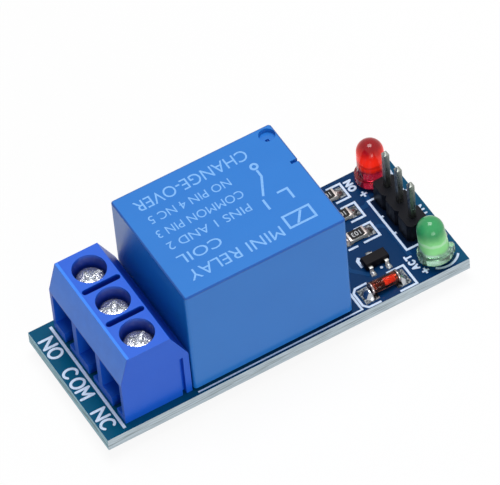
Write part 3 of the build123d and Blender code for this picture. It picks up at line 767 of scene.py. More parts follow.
class Piece:
    """A mesh being made, in millimetres in the shared frame.

    Args:
        name: The piece's name.
        source: A CAD node to start from, or None for an empty mesh.
    """

    def __init__(self, name: str, source: str | None = None) -> None:
        """Start an empty mesh, or one with the node's faces merged into whole ones."""
        self.name = name
        self.bm = bmesh.new()
        if source is not None:
            self.bm.from_mesh(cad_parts[source].data)
            bmesh.ops.scale(self.bm, vec=Vector((1 / MM,) * 3), verts=self.bm.verts)
            bmesh.ops.remove_doubles(self.bm, verts=self.bm.verts, dist=WELD)
            bmesh.ops.dissolve_limit(
                self.bm, angle_limit=FLAT, verts=self.bm.verts, edges=self.bm.edges
            )

    def block(self, middle: Sequence[float], size: Sequence[float], turn: float = 0.0) -> "Piece":
        """Add a rectangular block.

        Args:
            middle: Its middle.
            size: Its size along each axis.
            turn: Its turn about its upright axis, in degrees.

        Returns:
            This piece.
        """
        matrix = (
            Matrix.Translation(Vector(middle))
            @ Matrix.Rotation(math.radians(turn), 4, "Z")
            @ Matrix.Diagonal((*size, 1.0))
        )
        bmesh.ops.create_cube(self.bm, size=1.0, matrix=matrix)
        return self

    def stud(
        self,
        foot: Sequence[float],
        radius: float,
        height: float,
        top_radius: float | None = None,
        steps: int = 32,
    ) -> "Piece":
        """Add an upright cylinder or cone.

        Args:
            foot: The middle of its lower end.
            radius: Radius of its lower end.
            height: Its height.
            top_radius: Radius of its upper end, or None for a cylinder.
            steps: Sides round it.

        Returns:
            This piece.
        """
        bmesh.ops.create_cone(
            self.bm,
            cap_ends=True,
            segments=steps,
            radius1=radius,
            radius2=radius if top_radius is None else top_radius,
            depth=height,
            matrix=Matrix.Translation(Vector(foot) + Vector((0, 0, height / 2))),
        )
        return self

    def line(
        self, spots: Iterable[Place], closed: bool
    ) -> tuple[list[bmesh.types.BMVert], list[bmesh.types.BMEdge]]:
        """Draw a line of edges through points.

        Args:
            spots: The points.
            closed: Whether the last one joins the first.

        Returns:
            Its points and its edges.
        """
        verts = [self.bm.verts.new(spot) for spot in spots]
        pairs = list(zip(verts, verts[1:]))
        if closed:
            pairs.append((verts[-1], verts[0]))
        return verts, [self.bm.edges.new(pair) for pair in pairs]

    def turned(
        self, outline: Sequence[Spot], matrix: Matrix, steps: int = 48, closed: bool = False
    ) -> "Piece":
        """Spin an outline about an upright axis.

        Args:
            outline: Radius and height of each point.
            matrix: Puts the axis in its place.
            steps: Steps round the turn.
            closed: Whether the outline's last point joins its first.

        Returns:
            This piece.
        """
        before = set(self.bm.verts)
        verts, edges = self.line([(radius, 0.0, height) for radius, height in outline], closed)
        bmesh.ops.spin(
            self.bm,
            geom=[*verts, *edges],
            axis=(0, 0, 1),
            cent=(0, 0, 0),
            angle=FULL_TURN,
            steps=steps,
            use_merge=True,
        )
        made = [v for v in self.bm.verts if v not in before]
        bmesh.ops.remove_doubles(self.bm, verts=made, dist=WELD)
        made = [v for v in self.bm.verts if v not in before]
        faces = list({face for vert in made for face in vert.link_faces})
        bmesh.ops.recalc_face_normals(self.bm, faces=faces)
        bmesh.ops.transform(self.bm, matrix=matrix, verts=made)
        return self

    def soften(self, width: float, steps: int = 2, angle: float = 30.0) -> "Piece":
        """Round the piece's sharp edges.

        Args:
            width: Width of the rounding.
            steps: Faces across it.
            angle: Edges sharper than this, in degrees, are rounded.

        Returns:
            This piece.
        """
        limit = math.radians(angle)
        sharp = [
            edge
            for edge in self.bm.edges
            if len(edge.link_faces) == 2 and edge.calc_face_angle(0.0) > limit
        ]
        bmesh.ops.bevel(
            self.bm,
            geom=sharp,
            offset=width,
            offset_type="OFFSET",
            segments=steps,
            profile=0.5,
            affect="EDGES",
            clamp_overlap=True,
            material=-1,
        )
        return self

    def absorb(self, bm: bmesh.types.BMesh) -> None:
        """Take another mesh in as it is, and use it up."""
        mesh = written(self.name, bm)
        self.bm.from_mesh(mesh)
        bpy.data.meshes.remove(mesh)

    def combined(self, other: "Piece", how: "Joining") -> "Piece":
        """Cut another piece away from this one, or fuse it on.

        Args:
            other: The other piece, which is used up.
            how: Whether it is cut away or fused on.

        Returns:
            This piece.
        """
        base, tool = (linked(piece.name, written(piece.name, piece.bm)) for piece in (self, other))
        step = base.modifiers.new("combine", "BOOLEAN")
        step.operation = how.value
        step.solver = "EXACT"
        step.object = tool
        self.bm = taken_back(base)
        discard(tool)
        return self

    def thickened(self, width: float) -> "Piece":
        """Turn upright walls into strokes of one width, centred on the wall.

        Args:
            width: The strokes' width.

        Returns:
            This piece.
        """
        base = linked(self.name, written(self.name, self.bm))
        step = base.modifiers.new("thicken", "SOLIDIFY")
        step.thickness = width
        step.offset = 0.0
        step.use_even_offset = True
        self.bm = taken_back(base)
        return self

    def placed(
        self,
        finish: Finish,
        body: str = "module",
        replaces: Iterable[str] = (),
        crease: float = 32.0,
    ) -> bpy.types.Object:
        """Finish the piece: put it in the scene, dress it and let it ride.

        Args:
            finish: Its finish.
            body: The body that it rides on.
            replaces: CAD nodes that it stands for.
            crease: Edges sharper than this, in degrees, stay sharp.

        Returns:
            The piece's object.
        """
        bmesh.ops.scale(self.bm, vec=Vector((MM,) * 3), verts=self.bm.verts)
        mesh = written(self.name, self.bm)
        mesh.shade_smooth()
        mesh.set_sharp_from_angle(angle=math.radians(crease))
        piece = linked(self.name, mesh)
        weigh = piece.modifiers.new("even_shading", "WEIGHTED_NORMAL")
        weigh.keep_sharp = True
        mesh.materials.append(finish.material())
        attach(piece, body)
        names = list(replaces)
        if names:
            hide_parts(*names)
        log.info("%s: %d faces on %s", self.name, len(mesh.polygons), body)
        return piece


class Joining(Enum):
    """How one piece is worked into another, as the Boolean modifier calls it."""

    CUT = "DIFFERENCE"
    FUSE = "UNION"


def written(name: str, bm: bmesh.types.BMesh) -> bpy.types.Mesh:
    """Write a mesh being made to a mesh of the file, and use it up.

    Args:
        name: The mesh's name.
        bm: The mesh being made.

    Returns:
        The written mesh, in the same units.
    """
    mesh = bpy.data.meshes.new(name)
    bm.to_mesh(mesh)
    bm.free()
    return mesh


def linked(name: str, data: bpy.types.ID) -> bpy.types.Object:
    """Make an object of a mesh, text, lamp or camera, and put it in the scene.

    Args:
        name: The object's name.
        data: What it shows.

    Returns:
        The object.
    """
    holder = bpy.data.objects.new(name, data)
    bpy.context.scene.collection.objects.link(holder)
    return holder


def taken_back(holder: bpy.types.Object) -> bmesh.types.BMesh:
    """Read an object's mesh with its modifiers applied, and drop the object.

    Args:
        holder: The object.

    Returns:
        Its mesh, ready for more work.
    """
    bpy.context.view_layer.update()
    graph = bpy.context.evaluated_depsgraph_get()
    mesh = bpy.data.meshes.new_from_object(holder.evaluated_get(graph))
    bm = bmesh.new()
    bm.from_mesh(mesh)
    bpy.data.meshes.remove(mesh)
    discard(holder)
    return bm


def discard(holder: bpy.types.Object) -> None:
    """Remove an object and its data."""
    data = holder.data
    bpy.data.objects.remove(holder)
    if isinstance(data, bpy.types.Mesh):
        bpy.data.meshes.remove(data)
    else:
        bpy.data.curves.remove(data)


class Heading(Enum):
    """Way that a printed word reads, as the turn from +X in degrees."""

    ACROSS = 90.0
    BACK = 180.0
    DOWN = 270.0


@dataclass
class Print:
    """Print on a flat face: words, strokes and dots that stand a hair proud of it.

    Attributes:
        name: Name of the printed piece.
        level: Height of the face, in millimetres.
        finish: The ink.
        height: Thickness of the ink, in millimetres.
        walls: Lines drawn so far, gathered by their width.
        flats: Dots and words made so far.
    """

    name: str
    level: float
    finish: Finish
    height: float = 0.02
    walls: dict[float, Piece] = field(default_factory=dict)
    flats: list[bmesh.types.BMesh] = field(default_factory=list)

    def wall(self, width: float) -> Piece:
        """The mesh that gathers the lines of one width."""
        if width not in self.walls:
            self.walls[width] = Piece(f"{self.name}_strokes")
        return self.walls[width]

    def stroke(self, width: float, *spots: Spot, closed: bool = False, lift: float = 0.0) -> None:
        """Draw a line through points.

        Args:
            width: Its width.
            *spots: The points, along and across the board.
            closed: Whether the last point joins the first.
            lift: Extra height, so that crossing lines don't share a face.
        """
        piece = self.wall(width)
        edges = piece.line([(x, y, self.level) for x, y in spots], closed)[1]
        self.raise_walls(piece, edges, lift)

    def arc(self, width: float, middle: Spot, radius: float, start: float, turn: float) -> None:
        """Draw part of a circle.

        Args:
            width: The line's width.
            middle: The circle's middle.
            radius: Its radius.
            start: Where the line starts, in degrees from +X.
            turn: How far it goes round, in degrees.
        """
        piece = self.wall(width)
        x, y = round_from(middle, (radius, radius), start)
        first = piece.bm.verts.new((x, y, self.level))
        before = set(piece.bm.edges)
        bmesh.ops.spin(
            piece.bm,
            geom=[first],
            axis=(0, 0, 1),
            cent=(*middle, self.level),
            angle=math.radians(turn),
            steps=max(6, round(abs(turn) / 8)),
        )
        edges = [edge for edge in piece.bm.edges if edge not in before]
        self.raise_walls(piece, edges)

    def raise_walls(
        self, piece: Piece, edges: Sequence[bmesh.types.BMEdge], lift: float = 0.0
    ) -> None:
        """Raise a drawn line to the ink's thickness.

        Args:
            piece: The mesh that holds the line.
            edges: The line's edges.
            lift: Extra height.
        """
        raised = bmesh.ops.extrude_edge_only(piece.bm, edges=list(edges))
        tops = [item for item in raised["geom"] if isinstance(item, bmesh.types.BMVert)]
        bmesh.ops.translate(piece.bm, vec=(0, 0, self.height + lift), verts=tops)

    def dot(self, middle: Spot, radius: float, lift: float = 0.0) -> None:
        """Print a round dot, a little higher where it ends a line."""
        foot = (*middle, self.level)
        self.flats.append(Piece("dot").stud(foot, radius, self.height + lift, steps=24).bm)

    def plus(self, middle: Spot, size: float, width: float) -> None:
        """Print a plus sign.

        Args:
            middle: Its middle.
            size: Its height and width.
            width: Width of its strokes.
        """
        x, y = middle
        self.stroke(width, (x - size / 2, y), (x + size / 2, y))
        for side in (-1, 1):
            self.stroke(width, (x, y + side * width / 2), (x, y + side * size / 2))

    def drawn(self, text: str, middle: Spot, size: float, width: float, heading: Heading) -> None:
        """Print a word in plain drawn letters.

        Args:
            text: The word, of letters that LETTERS holds.
            middle: Its middle.
            size: Height of the letters' middle line.
            width: Width of the strokes.
            heading: The way it reads.
        """
        advance = LETTER_WIDTH + width / size + LETTER_GAP
        start = -(advance * (len(text) - 1) + LETTER_WIDTH) / 2
        turn = Matrix.Rotation(math.radians(heading.value), 2)
        for index, letter in enumerate(text):
            for order, line in enumerate(LETTERS[letter]):
                spots = []
                for x, y in line:
                    spot = turn @ Vector((start + index * advance + x, y - 0.5)) * size
                    spots.append((middle[0] + spot.x, middle[1] + spot.y))
                lift = order * LIFT
                if line[0] == line[-1]:
                    self.stroke(width, *spots[:-1], closed=True, lift=lift)
                    continue
                self.stroke(width, *spots, lift=lift)
                self.dot(spots[0], width / 2, lift + LIFT / 3)
                self.dot(spots[-1], width / 2, lift + LIFT * 2 / 3)

    def word(
        self, text: str, middle: Spot, size: float, heading: Heading, squeeze: float = 1.0
    ) -> None:
        """Print a word.

        Args:
            text: The word.
            middle: Its middle.
            size: Height of its capitals.
            heading: The way it reads.
            squeeze: Width of the letters, as a share of their plain width.
        """
        curve = bpy.data.curves.new(f"{self.name}_word", "FONT")
        curve.body = text
        curve.align_x = "CENTER"
        curve.align_y = "CENTER"
        curve.size = size * LETTER_SCALE
        curve.extrude = self.height / 2
        curve.resolution_u = 4
        bm = taken_back(linked(f"{self.name}_word", curve))
        matrix = (
            Matrix.Translation((*middle, self.level + self.height / 2))
            @ Matrix.Rotation(math.radians(heading.value), 4, "Z")
            @ Matrix.Diagonal((squeeze, 1.0, 1.0, 1.0))
        )
        bmesh.ops.transform(bm, matrix=matrix, verts=bm.verts)
        self.flats.append(bm)

    def placed(self) -> None:
        """Gather all the print in one piece and place it."""
        whole = Piece(self.name)
        strokes = [piece.thickened(width).bm for width, piece in self.walls.items()]
        for bm in strokes + self.flats:
            whole.absorb(bm)
        bmesh.ops.remove_doubles(whole.bm, verts=whole.bm.verts, dist=WELD / 5)
        whole.placed(self.finish)


def round_from(middle: Spot, reach: Spot, angle: float) -> Spot:
    """The point of an oval at an angle.

    Args:
        middle: The oval's middle.
        reach: Its half width and half height.
        angle: The angle from +X, in degrees.

    Returns:
        The point.
    """
    turn = math.radians(angle)
    return (middle[0] + reach[0] * math.cos(turn), middle[1] + reach[1] * math.sin(turn))


def bow(middle: Spot, reach: Spot, start: float, turn: float) -> list[Spot]:
    """Points of an oval arc.

    Args:
        middle: The oval's middle.
        reach: Its half width and half height.
        start: Where the arc starts, in degrees.
        turn: How far it goes round, in degrees.

    Returns:
        The arc's points, the last the same as the first for a full turn.
    """
    steps = 20
    points = [round_from(middle, reach, start + turn * step / steps) for step in range(steps + 1)]
    if turn == 360:
        points[-1] = points[0]
    return points


# Text size for a capital's height, width and gap of drawn letters by their height, and the
# lift in millimetres that keeps crossing lines apart
LETTER_SCALE = 1.42
LETTER_WIDTH = 0.75
LETTER_GAP = 0.07
LIFT = 0.003
LETTERS: dict[str, list[list[Spot]]] = {
    "A": [[(0.0, 0.0), (0.38, 1.0)], [(0.38, 1.0), (0.75, 0.0)], [(0.16, 0.34), (0.6, 0.34)]],
    "C": [bow((0.38, 0.5), (0.38, 0.5), 46, 268)],
    "I": [[(0.38, 0.0), (0.38, 1.0)]],
    "M": [
        [(0.0, 0.0), (0.0, 1.0)],
        [(0.0, 1.0), (0.38, 0.35)],
        [(0.38, 0.35), (0.75, 1.0)],
        [(0.75, 1.0), (0.75, 0.0)],
    ],
    "N": [[(0.0, 0.0), (0.0, 1.0)], [(0.0, 1.0), (0.75, 0.0)], [(0.75, 0.0), (0.75, 1.0)]],
    "O": [bow((0.38, 0.5), (0.38, 0.5), 0, 360)],
    "T": [[(0.0, 1.0), (0.75, 1.0)], [(0.38, 1.0), (0.38, 0.0)]],
}

SILK = Ink("board print", "board_mask", (206, 222, 244), (168, 192, 220))
CASE_INK = Ink("case print", "case_blue", (122, 180, 240), (98, 160, 230))
CHIP_INK = Ink("chip print", "chip_black", (200, 202, 204), (140, 142, 146))
MASK = Laminate("board mask", "board_mask")
TRACE = MaskedCopper("masked copper", "board_mask")
TERMINAL_PLASTIC = TerminalPlastic(
    "terminal plastic", "terminal_blue", (18, 97, 219), (13, 87, 206), roughness=0.4, grain=0.09
)
CASE_PLASTIC = CasePlastic(
    "case plastic", "case_blue", (30, 121, 208), (24, 115, 202), roughness=0.3, grain=0.4, depth=0.001
)
BASE_PLASTIC = Moulded("relay base plastic", "base_dark", (36, 40, 50), (24, 27, 36), roughness=0.5)
SPOOL_PLASTIC = Moulded("spool plastic", "bobbin_black", (26, 26, 29), (16, 16, 18), roughness=0.45)
HEADER_PLASTIC = Moulded(
    "header plastic", "header_black", (15, 17, 25), (8, 9, 15), roughness=0.42, sheen=0.12
)
EPOXY = Moulded(
    "transistor epoxy", "body_black", (13, 10, 17), (8, 6, 11), roughness=0.5, grain=0.07, sheen=0.12
)
GLAZE = Moulded("chip glaze", "chip_black", (16, 16, 20), (8, 8, 11), roughness=0.25, sheen=0.3)
CERAMIC = Moulded("chip ceramic", "chip_black", (196, 194, 188), (168, 168, 160), roughness=0.6)
TIN = Metal("tinned strip", "tinned_brass", (205, 204, 196), (160, 158, 150), roughness=0.3)
SCREW_ZINC = Metal(
    "zinc screw",
    "zinc_screw",
    (246, 248, 250),
    (176, 180, 186),
    roughness=0.24,
    grain=0.2,
    depth=0.09,
    metallic=0.86,
)
CAGE_ZINC = Metal("zinc cage", "zinc_cage", (190, 193, 196), (140, 144, 148), roughness=0.34)
IRON = Metal("soft iron", "soft_iron", (150, 152, 155), (110, 112, 116), roughness=0.4)
BRONZE = Metal("contact bronze", "contact_copper", (205, 150, 104), (165, 105, 70), roughness=0.3)
PIN = Metal(
    "header pin", "pin_metal", (166, 170, 164), (104, 110, 106), roughness=0.3, brushed=(1, 1, 6)
)
LEAD = Metal("lamp lead", "lead_metal", (180, 180, 178), (130, 130, 128), roughness=0.32)
CAP = Metal("end cap", "cap_metal", (222, 212, 206), (170, 160, 158), roughness=0.34, metallic=0.6)
SOLDER = Metal(
    "solder", "solder_metal", (214, 216, 220), (140, 146, 156), roughness=0.14, grain=0.45, depth=0.05
)
PAD_TIN = Metal(
    "tinned pad",
    "solder_metal",
    (122, 126, 130),
    (16, 28, 38),
    roughness=0.42,
    grain=0.22,
    depth=0.06,
    speckle=0.8,
)
CHIP_SOLDER = Metal(
    "chip solder", "solder_metal", (172, 164, 162), (74, 72, 76), roughness=0.3, grain=0.25, depth=0.09
)
LEG_SOLDER = Metal(
    "leg solder",
    "solder_metal",
    (240, 240, 236),
    (168, 170, 174),
    roughness=0.34,
    grain=0.3,
    depth=0.03,
    metallic=0.5,
)
LEG_TIN = Metal(
    "tinned leg", "cap_metal", (232, 232, 228), (196, 194, 190), roughness=0.42, metallic=0.45
)
RING = Metal(
    "diode ring", "cap_metal", (196, 184, 182), (92, 78, 82), roughness=0.2, grain=0.4, depth=0.02
)
COPPER_WIRE = Winding("copper winding", "copper_wire")
RED_RESIN = Resin(
    "red resin",
    "lens_red",
    (196, 38, 66),
    (255, 44, 26),
    (156, 8, 20),
    foot=5.4,
    middle=7.0,
    dome=8.7,
    dome_clear=0.08,
    seam=6.3,
    seam_colour=(120, 4, 14),
    glow=0.45,
)
GREEN_RESIN = Resin(
    "green resin",
    "lens_green",
    (190, 232, 208),
    (146, 232, 146),
    (60, 164, 100),
    foot=4.85,
    middle=6.1,
    dome=7.8,
    foot_clear=0.92,
    dome_clear=0.12,
    seam=6.2,
    seam_colour=(206, 244, 212),
    glow=0.1,
)
DIODE_GLASS = TintedGlass("diode glass", "diode_glass")
DIODE_ROD = BandedRod("diode rod", "contact_copper")


@dataclass
class Softened:
    """CAD nodes that keep their shape and get rounded edges and a finish.

    Attributes:
        finish: Their finish.
        nodes: Their names, each with the body that it rides on.
        edge: Width of the rounding, in millimetres.
    """

    finish: Finish
    nodes: Mapping[str, str]
    edge: float = 0.04

    def build(self) -> None:
        """Make a softened copy of each node in its place."""
        for node, body in self.nodes.items():
            piece = Piece(f"{node}_skin", node).soften(self.edge)
            piece.placed(self.finish, body, replaces=[node])


def on_module(*nodes: str) -> dict[str, str]:
    """Name nodes that ride on the module itself."""
    return {node: "module" for node in nodes}


def dress(node: str, finish: Finish) -> None:
    """Give a CAD node its finish as it stands."""
    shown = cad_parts[node].data
    shown.materials.clear()
    shown.materials.append(finish.material())
    log.info("%s: dressed as it stands", node)


# Leads that go through the board: their places, insets and holes, in millimetres
LAMP_SPOTS: dict[str, Spot] = {"power_led": (19.12, 6.43), "switch_led": (19.12, -6.43)}
LEAD_SPREAD = 1.27
PIN_INSET = 0.3
BLADE_INSET = 0.2
WIDE_HOLE = 0.65
PIN_HOLE = 0.5
LAMP_HOLE = 0.45

# The transistor's legs, by their place along it and their side, and solder's sharpest angle
LEG_SIDES: tuple[Spot, ...] = ((-0.95, -1), (0.95, -1), (0.0, 1))
SOLDER_CREASE = 60.0


def lead_spots() -> list[tuple[Spot, float]]:
    """Where each lead goes through the board, with the radius of its hole.

    Returns:
        Along and across the board and the hole's radius, in millimetres.
    """
    spots: list[tuple[Spot, float]] = []
    for number in (1, 2, 3):
        contact = Extent.of(f"terminal_contact_{number}")
        spots.append(((contact.high.x - PIN_INSET, contact.middle.y), WIDE_HOLE))
        pin = Extent.of(f"header_pin_{number}").middle
        spots.append(((pin.x, pin.y), PIN_HOLE))
    coil = Extent.of("relay_coil_pins")
    common = Extent.of("relay_com_terminal").middle
    opened, closed = (Extent.of(f"relay_{kind}_contact") for kind in ("no", "nc"))
    relay: list[Spot] = [
        (coil.middle.x, coil.low.y + PIN_INSET),
        (coil.middle.x, coil.high.y - PIN_INSET),
        (common.x, common.y),
        (opened.middle.x, opened.high.y - BLADE_INSET),
        (closed.middle.x, closed.low.y + BLADE_INSET),
    ]
    spots += [(spot, WIDE_HOLE) for spot in relay]
    for x, y in LAMP_SPOTS.values():
        spots += [((x + side * LEAD_SPREAD, y), LAMP_HOLE) for side in (-1, 1)]
    return spots


def leg_spots(reach: float, level: float) -> list[Place]:
    """Places beside the transistor's legs, this far from its middle and at this level."""
    body = Extent.of("transistor_body").middle
    return [(body.x + shift, body.y + side * reach, level) for shift, side in LEG_SIDES]


@dataclass
class Board:
    """The bare board with its pads and covered traces.

    Attributes:
        pad_height: How far copper stands off the board, in millimetres.
        pad_edge: Rounding of a pad's edges, in millimetres.
        ring: Width of a pad past its hole, in millimetres.
        chip_pad: Length and width of a chip resistor's pad, in millimetres.
        chip_gap: How far past the chip's end the pad's middle lies, in millimetres.
        diode_pad: Length and width of a diode's pad, in millimetres.
        diode_gap: How far past the diode's end the pad's middle lies, in millimetres.
        leg_pad: Length and width of a transistor's pad, in millimetres.
        leg_reach: How far from the transistor's middle the pad lies, in millimetres.
        trace_height: How far a covered trace stands off the board, in millimetres.
        thin_trace: Width of a trace on top, in millimetres.
        signal_trace: Width of a trace under the board, in millimetres.
        clamp_trace: Width of a trace from a clamp to the relay, in millimetres.
        top: Height of the board's upper face, in millimetres.
        bottom: Height of its lower face, in millimetres.
    """

    pad_height: float = 0.035
    pad_edge: float = 0.012
    ring: float = 0.5
    chip_pad: Spot = (1.3, 1.45)
    chip_gap: float = 0.42
    diode_pad: Spot = (1.7, 2.1)
    diode_gap: float = 0.2
    leg_pad: Spot = (0.62, 0.7)
    leg_reach: float = 1.25
    trace_height: float = 0.02
    thin_trace: float = 0.5
    signal_trace: float = 0.8
    clamp_trace: float = 2.2
    top: float = field(init=False)
    bottom: float = field(init=False)

    def __post_init__(self) -> None:
        """Read the board's faces from the frame."""
        extent = Extent.of("pcb")
        self.top = extent.high.z
        self.bottom = extent.low.z

    def build(self) -> None:
        """Dress the board and lay its copper."""
        dress("pcb", MASK)
        self.surface_pads()
        self.through_pads()
        self.upper_traces()
        self.lower_traces()

    def surface_pads(self) -> None:
        """Lay the tinned pads under the small parts."""
        pads = Piece("surface_pads")
        level = self.top + self.pad_height / 2
        ended = [(f"resistor_{number}", self.chip_gap, self.chip_pad) for number in (1, 2, 3)]
        ended.append(("diode_caps", self.diode_gap, self.diode_pad))
        for node, gap, size in ended:
            part = Extent.of(node)
            for side in (-1, 1):
                x = part.middle.x + side * (part.size.x / 2 + gap)
                pads.block((x, part.middle.y, level), (*size, self.pad_height))
        for spot in leg_spots(self.leg_reach, level):
            pads.block(spot, (*self.leg_pad, self.pad_height))
        pads.soften(self.pad_edge).placed(PAD_TIN)

    def through_pads(self) -> None:
        """Lay a ring of copper round each hole under the board."""
        rings = Piece("through_pads")
        for spot, radius in lead_spots():
            outer = radius + self.ring
            low = -self.pad_height
            outline = [(radius, low), (outer, low), (outer, 0.0), (radius, 0.0)]
            matrix = Matrix.Translation((*spot, self.bottom))
            rings.turned(outline, matrix, steps=32, closed=True)
        rings.placed(SOLDER)

    def upper_traces(self) -> None:
        """Lay the covered traces among the small parts."""
        upper = Print("upper_traces", self.top, TRACE, self.trace_height)
        for route in (
            [(10.2, 6.75), (9.0, 6.75), (8.6, 6.2), (8.6, 3.2)],
            [(15.4, 3.65), (16.6, 3.65), (17.3, 4.3), (17.3, 5.6)],
            [(15.4, 0.58), (16.3, 0.58), (17.0, 0.0), (17.0, -4.6)],
            [(12.4, 0.58), (11.2, 0.58), (10.6, 0.0), (10.6, -3.0), (12.1, -4.6)],
        ):
            upper.stroke(self.thin_trace, *route)
        upper.placed()

    def lower_traces(self) -> None:
        """Lay the covered traces under the board, broad ones to the clamps."""
        lower = Print("lower_traces", self.bottom - self.trace_height, TRACE, self.trace_height)
        clamps = Extent.of("terminal_contact_1").high.x - PIN_INSET
        for route in (
            [(clamps, 5.0), (-11.5, 5.4), (-8.64, 5.9)],
            [(clamps, -5.0), (-11.5, -5.4), (-8.64, -6.1)],
            [(clamps, 0.0), (-8.0, 0.0), (5.56, -0.1)],
        ):
            lower.stroke(self.clamp_trace, *route)
        for route in (
            [(3.56, 5.9), (6.0, 6.6), (14.0, 6.6), (17.8, 6.42)],
            [(3.56, -6.1), (6.0, -6.9), (14.6, -6.9), (17.8, -6.45)],
            [(19.03, 3.1), (20.3, 4.2), (20.3, 6.42)],
            [(19.03, -1.98), (20.3, -3.2), (20.3, -6.45)],
            [(19.03, 0.56), (15.6, 0.56), (14.0, 2.0), (10.0, 2.0), (8.4, 0.4)],
        ):
            lower.stroke(self.signal_trace, *route)
        lower.placed()


@dataclass
class SolderWork:
    """Solder on both faces of the board.

    Attributes:
        climb: How far a joint under the board climbs its lead, in millimetres.
        skirt: How far it spreads past its hole, in millimetres.
        tip: Its radius at the lead's end, in millimetres.
        chip_heap: Half length, half width and height of a heap at a chip, in millimetres.
        leg_heap: The same of a heap at the transistor's leg, in millimetres.
        leg_reach: How far that heap lies from the transistor's middle, in millimetres.
        diode_heap: The same of a heap at the diode, in millimetres.
    """

    climb: float = 0.9
    skirt: float = 0.36
    tip: float = 0.42
    chip_heap: Place = (0.92, 0.6, 0.44)
    leg_heap: Place = (0.3, 0.4, 0.24)
    leg_reach: float = 1.15
    diode_heap: Place = (0.88, 0.95, 0.72)

    def build(self) -> None:
        """Make the joints under the board and the heaps on top."""
        self.joints()
        top = Extent.of("pcb").high.z
        chips = Piece("resistor_heaps")
        for number in (1, 2, 3):
            self.end_heaps(chips, f"resistor_{number}_caps", self.chip_heap, top)
        chips.placed(CHIP_SOLDER, replaces=["resistor_solder"], crease=SOLDER_CREASE)
        legs = Piece("transistor_heaps")
        for spot in leg_spots(self.leg_reach, top):
            self.heap(legs, spot, self.leg_heap)
        legs.placed(LEG_SOLDER, replaces=["transistor_solder"], crease=SOLDER_CREASE)
        ends = Piece("diode_heaps")
        self.end_heaps(ends, "diode_caps", self.diode_heap, top)
        ends.placed(SOLDER, replaces=["diode_solder"], crease=SOLDER_CREASE)

    def joints(self) -> None:
        """Turn a joint round each lead under the board."""
        bottom = Extent.of("pcb").low.z
        joints = Piece("under_joints")
        for spot, radius in lead_spots():
            foot = radius + self.skirt
            outline: list[Spot] = [(0.0, 0.0), (foot, 0.0)]
            for share in (0.15, 0.35, 0.6, 0.85):
                reach = foot + (self.tip - foot) * math.sin(share * math.pi / 2)
                outline.append((reach, -self.climb * share**1.6))
            outline += [(self.tip, -self.climb * 0.92), (self.tip * 0.6, -self.climb)]
            outline.append((0.0, -self.climb))
            joints.turned(outline, Matrix.Translation((*spot, bottom)), steps=32)
        names = ["terminal_solder", "relay_solder", "header_solder", "led_solder"]
        joints.placed(SOLDER, replaces=names, crease=SOLDER_CREASE)

    def end_heaps(self, piece: Piece, node: str, reach: Place, top: float) -> None:
        """Heap solder against both ends of a part.

        Args:
            piece: The piece to add the heaps to.
            node: The part's CAD node.
            reach: A heap's half length, half width and height.
            top: Height of the board's face.
        """
        part = Extent.of(node)
        for side, end in ((-1, part.low.x), (1, part.high.x)):
            self.heap(piece, (end, part.middle.y, top), reach, side)

    def heap(self, piece: Piece, foot: Place, reach: Place, side: int = 0) -> None:
        """Add a heap of solder, whole or cut off flat where it meets a part's end.

        Args:
            piece: The piece to add it to.
            foot: The middle of its flat side, or of its foot for a whole heap.
            reach: Its half length, half width and height.
            side: The side it lies on along the board, or 0 for a whole heap.
        """
        heap = Piece("heap")
        outline = [(0.0, 0.0), (1.0, 0.0), (0.93, 0.14), (0.8, 0.36), (0.6, 0.62), (0.35, 0.86)]
        matrix = Matrix.Translation(foot) @ Matrix.Diagonal((*reach, 1.0))
        heap.turned([*outline, (0.0, 1.0)], matrix, steps=32)
        if side:
            geometry = [*heap.bm.verts, *heap.bm.edges, *heap.bm.faces]
            cut = bmesh.ops.bisect_plane(
                heap.bm, geom=geometry, plane_co=foot, plane_no=(-side, 0, 0), clear_outer=True
            )
            rim = [item for item in cut["geom_cut"] if isinstance(item, bmesh.types.BMEdge)]
            bmesh.ops.holes_fill(heap.bm, edges=rim)
        piece.absorb(heap.bm)


